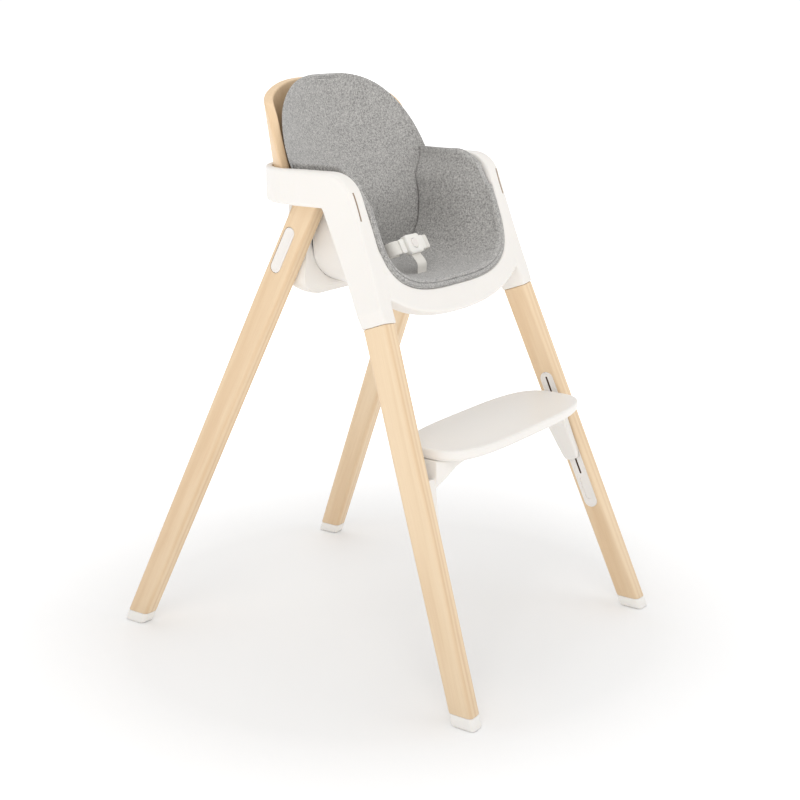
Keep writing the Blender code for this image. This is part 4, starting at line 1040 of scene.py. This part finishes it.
def liner_outline_half(z):
    """Half-width of the back panel at a height."""
    if z < PANEL_SHOULDER:
        lower = liner_outer_half(z) - 0.004
        return lower + (LINER_BACK_HALF - LINER_REAR_HALF + 0.004) * smoothstep(z, 0.725, 0.790)
    rise = clamp((z - PANEL_SHOULDER) / (PANEL_CROWN - PANEL_SHOULDER))
    return LINER_BACK_HALF * (1.0 - rise ** 1.9) ** (1.0 / 2.8)


def build_liner_back():
    """Back panel of the liner with its bound edge."""
    levels = [0.6035, 0.607, 0.613, 0.625, 0.640, 0.660, 0.690, 0.720, 0.745, 0.765, PANEL_SHOULDER]
    levels += [PANEL_SHOULDER + 0.1305 * math.sin(math.radians(angle)) for angle in spread(4.0, 90.0, 30)]

    def surface(u, v, depth, inset):
        z = hermite(range(len(levels)), levels, v * (len(levels) - 1))
        z = clamp(z, levels[0], LINER_BACK_TOP)
        half = liner_outline_half(z)
        x = u * half * (1.0 - inset / LINER_BACK_HALF)
        above = z - PANEL_SHOULDER
        z = PANEL_SHOULDER + above * (1.0 - inset / (0.130 if above > 0.0 else 0.182))
        thick = 0.010 - 0.0075 * smoothstep(abs(u), 0.5, 1.0)
        y = liner_back_y(x, z) + thick * clamp(depth, -1.0, 1.0)
        if depth < 0.5:
            edge = min((1.0 - abs(u)) * half, abs(PANEL_CROWN - z))
            middle = smoothstep(edge, 0.004, 0.050)
            y += -0.0022 * middle + soft((x, 0.0, z), 0.0020, 17.0, 8.0) * middle
        return Vector((x, y, z))

    layers = seam_layers(0.010, 0.0058, 0.0013)
    layers += [(0.02, 0.0030), (0.06, 0.0018), (0.16, 0.0009), (0.32, 0.0003), (0.50, 0.0001),
               (0.70, 0.0004), (0.88, 0.0013), (1.0, 0.0030)]
    bm = panel(surface, spread(-1.0, 1.0, 161), spread(0.0, 1.0, 121), layers)
    back = add_object("liner_back_panel", bm, WOOL, None, 75.0)
    finish_piece(back, "chair", "liner_fabric", "liner_back", padded=0.8)


# --------------------------------------------------------------------- harness

def ribbon(name, points, width, thickness, across, waves=0.0):
    """Webbing through points: rounded selvedges, woven layout and an optional ripple."""
    route = resample(points, 90)
    bm = bmesh.new()
    layer = bm.loops.layers.uv.new("strap")
    profile = []
    for i in range(24):
        angle = math.tau * (i + 0.5) / 24
        c, s = math.cos(angle), math.sin(angle)
        profile.append((math.copysign(abs(c) ** 0.35, c), math.copysign(abs(s) ** 0.75, s)))
    rings, travel = [], 0.0
    for i, point in enumerate(route):
        before, after = route[max(i - 1, 0)], route[min(i + 1, len(route) - 1)]
        face = (after - before).cross(across).normalized()
        travel += (point - route[i - 1]).length if i else 0.0
        ring = []
        for a, b in profile:
            ripple = waves * math.sin(travel * 190.0 + a * 1.6) * (0.4 + 0.6 * abs(a))
            place = point + across * a * width / 2 + face * (b * thickness / 2 + ripple)
            ring.append((bm.verts.new(place), travel, a * width / 2))
        rings.append(ring)
    patches = [rings[0][::-1], rings[-1]]
    for lower, upper in zip(rings, rings[1:]):
        patches += [(lower[i - 1], lower[i], upper[i], upper[i - 1]) for i in range(len(profile))]
    for patch in patches:
        for loop, corner in zip(bm.faces.new([c[0] for c in patch]).loops, patch):
            loop[layer].uv = corner[1:]
    return add_object(name, bm, WEBBING, None, 50.0)


def mirrored(steps):
    """Steps of (position, inset) followed by the same steps the other way round."""
    return steps + tuple((-position, inset) for position, inset in reversed(steps))


def slab(steps, x0, x1, half_z, corner, segments, squeeze=0.0, pinch=1.0):
    """Rounded plate standing across Y: (y, inset) steps of a rounded rectangle in X and Z."""
    rings = []
    for y, inset in steps:
        outline = rounded_rectangle(x0 + inset, x1 - inset, inset - half_z, half_z - inset,
                                    corner - inset * pinch, segments)
        rings.append([(x * (1.0 - squeeze * abs(z) / half_z), y, z) for x, z in outline])
    return loft(rings)


def build_buckle(place):
    """Buckle body with its recessed front, press button and side tongues."""
    steps = mirrored(((-0.0070, 0.0032), (-0.0069, 0.0022), (-0.0064, 0.0011), (-0.0055, 0.0003),
                      (-0.0044, 0.0)))
    steps = steps[:5] + ((0.0, 0.0),) + steps[5:]
    body = slab(steps, -0.020, 0.020, 0.016, 0.0065, 8, squeeze=0.04, pinch=0.8)
    body = add_object("buckle_housing", body, BUCKLE_WHITE, place, 60.0)
    cut(body, turned([(-0.010, 0.0085), (-0.0020, 0.0085)], "Y", 48), place)
    bevel(body, 0.0004, 2, 60.0)
    finish_piece(body, "chair", "buckle_plastic", "buckle_body")
    button = turned([(-0.0045, 0.0080), (-0.0070, 0.0080), (-0.0075, 0.0078), (-0.0079, 0.0072),
                     (-0.0080, 0.0060), (-0.0077, 0.0040), (-0.0076, 0.0015)], "Y", 48)
    cap = add_object("buckle_press", button, BUTTON_WHITE, place, 60.0)
    finish_piece(cap, "buckle_button", "button_plastic", "buckle_button")
    steps = mirrored(((-0.0025, 0.0012), (-0.0022, 0.0004), (-0.0015, 0.0)))
    for side, word in SIDES:
        x0, x1 = sorted((side * 0.0203, side * 0.0330))
        tongue = slab(steps, x0, x1, 0.012, 0.003, 6, pinch=0.0)
        tongue = add_object("buckle_tongue_part_" + word, tongue, BUCKLE_WHITE, place, 60.0)
        finish_piece(tongue, "chair", "buckle_plastic", "buckle_tongue_" + word)


def build_harness():
    """Crotch strap, buckle and the two folded waist straps."""
    place = Matrix.Translation(BUCKLE_CENTRE) @ Matrix.Rotation(math.radians(BUCKLE_TILT), 4, "X")
    top = place @ Vector((0.0, 0.0, -0.0165))
    route = [(0, STRAP_Y, 0.5905), (0, STRAP_Y, 0.612), (0, STRAP_Y + 0.0005, 0.624), top]
    strap = ribbon("crotch_webbing", route, 0.025, 0.0018, Vector((1.0, 0.0, 0.0)))
    finish_piece(strap, "chair", "webbing", "crotch_strap")
    build_buckle(place)
    across = place.to_3x3() @ Vector((0.0, 0.0, 1.0))
    turn = 0.0420
    for (side, word), depth in zip(SIDES, (0.0145, 0.0185)):
        path = [(0.0345, 0.0), (turn, 0.0)]
        for degrees in range(15, 170, 15):
            angle = math.radians(degrees)
            path.append((turn + depth / 2 * math.sin(angle), depth / 2 * (1.0 - math.cos(angle))))
        path += [(turn, depth), (0.0300, depth), (0.0175, depth)]
        route = [place @ Vector((side * x, y, 0.0)) for x, y in path]
        strap = ribbon("waist_webbing_" + word, route, 0.0225, 0.0019, across, 0.0003)
        finish_piece(strap, "chair", "webbing", "waist_strap_" + word)


# -------------------------------------------------------------------- footrest

def board_ring(z, inset):
    """Rounded plan outline of the footrest board."""
    half_x = BOARD_HALF_X - inset
    half_y = (BOARD_FRONT - BOARD_REAR) / 2 - inset
    middle = -(BOARD_FRONT + BOARD_REAR) / 2
    ring, power = [], 2.0 / 3.4
    for i in range(176):
        angle = math.tau * i / 176
        c, s = math.cos(angle), math.sin(angle)
        ring.append(Vector((half_x * math.copysign(abs(c) ** power, c),
                            middle + half_y * math.copysign(abs(s) ** power, s), z)))
    return ring


def build_board():
    """Footrest board: dished top with a soft lip over a hollow underside."""
    low = BOARD_TOP - BOARD_THICKNESS
    lower = ((0.0, 0.0060), (0.0002, 0.0045), (0.0012, 0.0028), (0.0030, 0.0012), (0.0055, 0.0002),
             (0.0080, 0.0))
    upper = ((0.0032, 0.0), (0.0020, 0.0002), (0.0009, 0.0009), (0.0003, 0.0018), (0.0, 0.0030),
             (0.0001, 0.0046), (0.0005, 0.0070), (0.0010, 0.0120), (0.0016, 0.0220), (0.0020, 0.0350),
             (0.0021, 0.0600))
    under = ((-0.01, 0.0095), (0.0075, 0.0095), (0.0098, 0.0105), (0.0105, 0.0125))
    rings = [board_ring(low + rise, inset) for rise, inset in lower]
    rings += [board_ring(BOARD_TOP - drop, inset) for drop, inset in upper]
    board = add_object("footrest_plate", loft(rings), WHITE, None, 50.0)
    cut(board, loft([board_ring(low + rise, inset) for rise, inset in under]))
    finish_piece(board, "footrest", "white_moulding", "footrest_board")


def swept(stations, positions):
    """Values between stations: (position, values...) rows read as smooth curves at other positions."""
    knots, *columns = zip(*stations)
    return [(at, *(hermite(knots, column, at) for column in columns)) for at in positions]


def build_bracket(side, word):
    """Bracket under one end of the board, with the plate that rides on the track."""
    matrix = leg_matrix(FRONT_FOOT, FRONT_LEAN, side)
    low = BOARD_TOP - BOARD_THICKNESS - GAP
    arm = ((0.128, -0.247, -0.178, 0.010), (0.160, -0.245, -0.180, 0.016),
           (0.182, -0.240, -0.184, 0.030), (0.1985, -0.232, -0.191, 0.044))
    rings = []
    for x, y0, y1, drop in swept(arm, spread(0.128, 0.1985, 28)):
        outline = rounded_rectangle(y0, y1, low - drop, low, 0.004, 6)
        rings.append([(side * x, y, z) for y, z in outline])
    seat = INNER_FACE - TRACK_PROUD
    face = seat - 0.0006
    plate = ((0.297, 0.006, 0.0160, 0.0330), (0.301, 0.009, 0.0100, 0.0360),
             (0.330, 0.013, 0.0070, 0.0390), (0.372, 0.020, 0.0050, 0.0400))
    plates = []
    for along, thick, y0, y1 in swept(plate, [0.297, 0.2985] + spread(0.301, 0.372, 26)):
        outline = rounded_rectangle(face - thick, face, y0, y1, 0.0028, 6)
        plates.append([(x, side * y, along) for x, y in outline])
    bracket = joined("footrest_arm_" + word, [(loft(rings), None), (loft(plates), matrix)])
    remesh(bracket, 0.0010, 6)
    y0, y1 = sorted((side * (TRACK_CENTRE - 0.0018), side * (TRACK_CENTRE + 0.0018)))
    cut(bracket, box_body((seat - 0.0085, y0, PIN_ALONG - 0.0063), (seat + 0.004, y1, PIN_ALONG + 0.0063)),
        matrix)
    paint(bracket, WHITE)
    finish_piece(bracket, "bracket_" + word, "white_moulding", "footrest_bracket_" + word)


def build_track(side, word):
    """Footrest track: rimmed insert with a long slot and a shallow round-ended pocket."""
    matrix = leg_matrix(FRONT_FOOT, FRONT_LEAN, side)
    rim = INNER_FACE - TRACK_PROUD
    rings = []
    for x, inset in ((INNER_FACE + TRACK_DEPTH, 0.0), (rim + 0.0008, 0.0), (rim + 0.0003, 0.0002),
                     (rim, 0.0007), (rim, 0.0014), (rim + 0.0003, 0.0019), (INNER_FACE, 0.0023),
                     (INNER_FACE, 0.0034)):
        outline = pill(TRACK_LENGTH - 2 * inset, TRACK_WIDTH - 2 * inset, 20)
        rings.append([(x, side * (TRACK_CENTRE + b), TRACK_MIDDLE + a) for a, b in outline])
    track = add_object("footrest_rail_" + word, loft(rings), TRACK_WHITE, matrix, 40.0)
    slot_width = SLOT_WIDTH + 0.0004
    slot = pill_tool((SLOT_START + SLOT_END) / 2, TRACK_CENTRE, SLOT_END - SLOT_START, slot_width,
                     INNER_FACE - 0.01, INNER_FACE + 0.0045, side)
    pocket = pill_tool(0.2395, TRACK_CENTRE, 0.042, 0.0145, INNER_FACE - 0.004, INNER_FACE + 0.0016, side)
    boolean(track, joined("tool", [(slot, matrix), (pocket, matrix)]), "DIFFERENCE")
    # The slot's walls and floor take the dark brown painted shade.
    track.data.materials.append(TRACK_SLOT_SHADE)
    for polygon in track.data.polygons:
        across = side * polygon.center.y - TRACK_CENTRE
        inside = 0.0003 < polygon.center.x - INNER_FACE < 0.0047
        if inside and abs(across) < 0.53 * slot_width and polygon.center.z > SLOT_START - 0.001:
            polygon.material_index = 1
    finish_piece(track, "chair", "track_plastic", "footrest_track_" + word)


# -------------------------------------------------------------- the other nodes

def dress_nodes():
    """Small hardware keeps its shape and gets detailed finishes."""
    finishes = {f"back_screw_{index}": STEEL for index in range(1, 5)}
    finishes["crotch_strap_anchor"] = STEEL
    for _, word in SIDES:
        for name, material in (("footrest_lock_pin_", STEEL), ("rear_leg_tenon_", STEEL),
                               ("latch_plunger_", STEEL), ("latch_spring_", SPRING_STEEL),
                               ("release_stem_", BUTTON_WHITE)):
            finishes[name + word] = material
    for name, material in finishes.items():
        paint(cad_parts[name], material)


# ------------------------------------------------------------- camera and light

def add_area(name, place, aim, size, power, tint=(1.0, 1.0, 1.0)):
    """Soft area light aimed at a point."""
    light = bpy.data.lights.new(name, "AREA")
    light.shape = "RECTANGLE"
    light.size, light.size_y = size
    light.energy = power
    light.color = tint
    obj = bpy.data.objects.new(name, light)
    obj.location = place
    obj.rotation_euler = (Vector(aim) - Vector(place)).to_track_quat("-Z", "Y").to_euler()
    bpy.context.scene.collection.objects.link(obj)


def build_floor():
    """Plain pale floor that glows more strongly with distance, so that it fades to white."""
    look = Shading("studio_floor")
    base = look.mix(look.noise(3.0, 3.0), (0.93, 0.93, 0.93), (0.95, 0.95, 0.95))
    distance = look.node("VectorMath", "Value", operation="LENGTH", Vector=look.place)
    glow = look.node("MapRange", Value=distance, From_Min=0.45, From_Max=1.6, To_Min=0.03, To_Max=0.70)
    material = look.finish(Base_Color=base, Roughness=0.9, Specular_IOR_Level=0.1,
                           Emission_Strength=glow, Emission_Color=(1.0, 1.0, 1.0))
    half = 60.0
    rows = [[(x, y, -0.0004) for x in spread(-half, half, 41)] for y in spread(-half, half, 61)]
    bm = bmesh.new()
    lines = [[bm.verts.new(point) for point in row] for row in rows]
    for a, b in zip(lines, lines[1:]):
        for i in range(40):
            bm.faces.new((a[i], a[i + 1], b[i + 1], b[i]))
    add_object("studio_ground", bm, material)


def build_camera():
    """Camera at the height and angle of a seated viewer, off to the front right of the chair."""
    right = Vector((0.5761, -0.8174, -0.0022)).normalized()
    up = Vector((0.2169, 0.1502, 0.9646))
    up = (up - right * up.dot(right)).normalized()
    matrix = Matrix((right, up, right.cross(up))).transposed().to_4x4()
    matrix.translation = Vector((-1.9113, -1.3768, 1.0247))
    data = bpy.data.cameras.new("viewer")
    data.lens = 65.42
    data.sensor_width = 36.0
    data.shift_x = -0.00137
    data.shift_y = 0.0027
    data.clip_end = 60.0
    camera = bpy.data.objects.new("viewer", data)
    camera.matrix_world = matrix
    bpy.context.scene.collection.objects.link(camera)
    bpy.context.scene.camera = camera


def build_lights():
    """Bright studio: pale world, a large soft key from above left, a fill at the front and a top light."""
    world = bpy.data.worlds.new("studio")
    world.use_nodes = True
    nodes, links = world.node_tree.nodes, world.node_tree.links
    background = nodes["Background"]
    background.inputs["Color"].default_value = (1.0, 1.0, 1.0, 1.0)
    path = nodes.new("ShaderNodeLightPath")
    bright = nodes.new("ShaderNodeMapRange")
    bright.inputs["To Min"].default_value = 0.70
    bright.inputs["To Max"].default_value = 1.05
    links.new(path.outputs["Is Camera Ray"], bright.inputs["Value"])
    links.new(bright.outputs[0], background.inputs["Strength"])
    bpy.context.scene.world = world
    add_area("key", (-2.6, -1.4, 3.4), (0.0, 0.0, 0.45), (2.2, 2.2), 27.0, (1.0, 0.99, 0.975))
    add_area("front_fill", (1.2, -3.4, 1.6), (0.0, 0.0, 0.5), (2.5, 2.0), 9.0, (0.98, 0.99, 1.0))
    add_area("top", (0.3, 0.4, 3.2), (0.0, 0.0, 0.5), (2.2, 2.2), 17.0)
    bpy.context.scene.view_settings.view_transform = "Standard"


build_camera()
build_frame()
build_bucket()
build_housing()
build_wood_back()
build_liner()
build_liner_back()
build_harness()
build_board()
for direction, label in SIDES:
    for build in (build_front_leg, build_rear_leg, build_foot_caps, build_release, build_track,
                  build_bracket):
        build(direction, label)
dress_nodes()
build_floor()
build_lights()
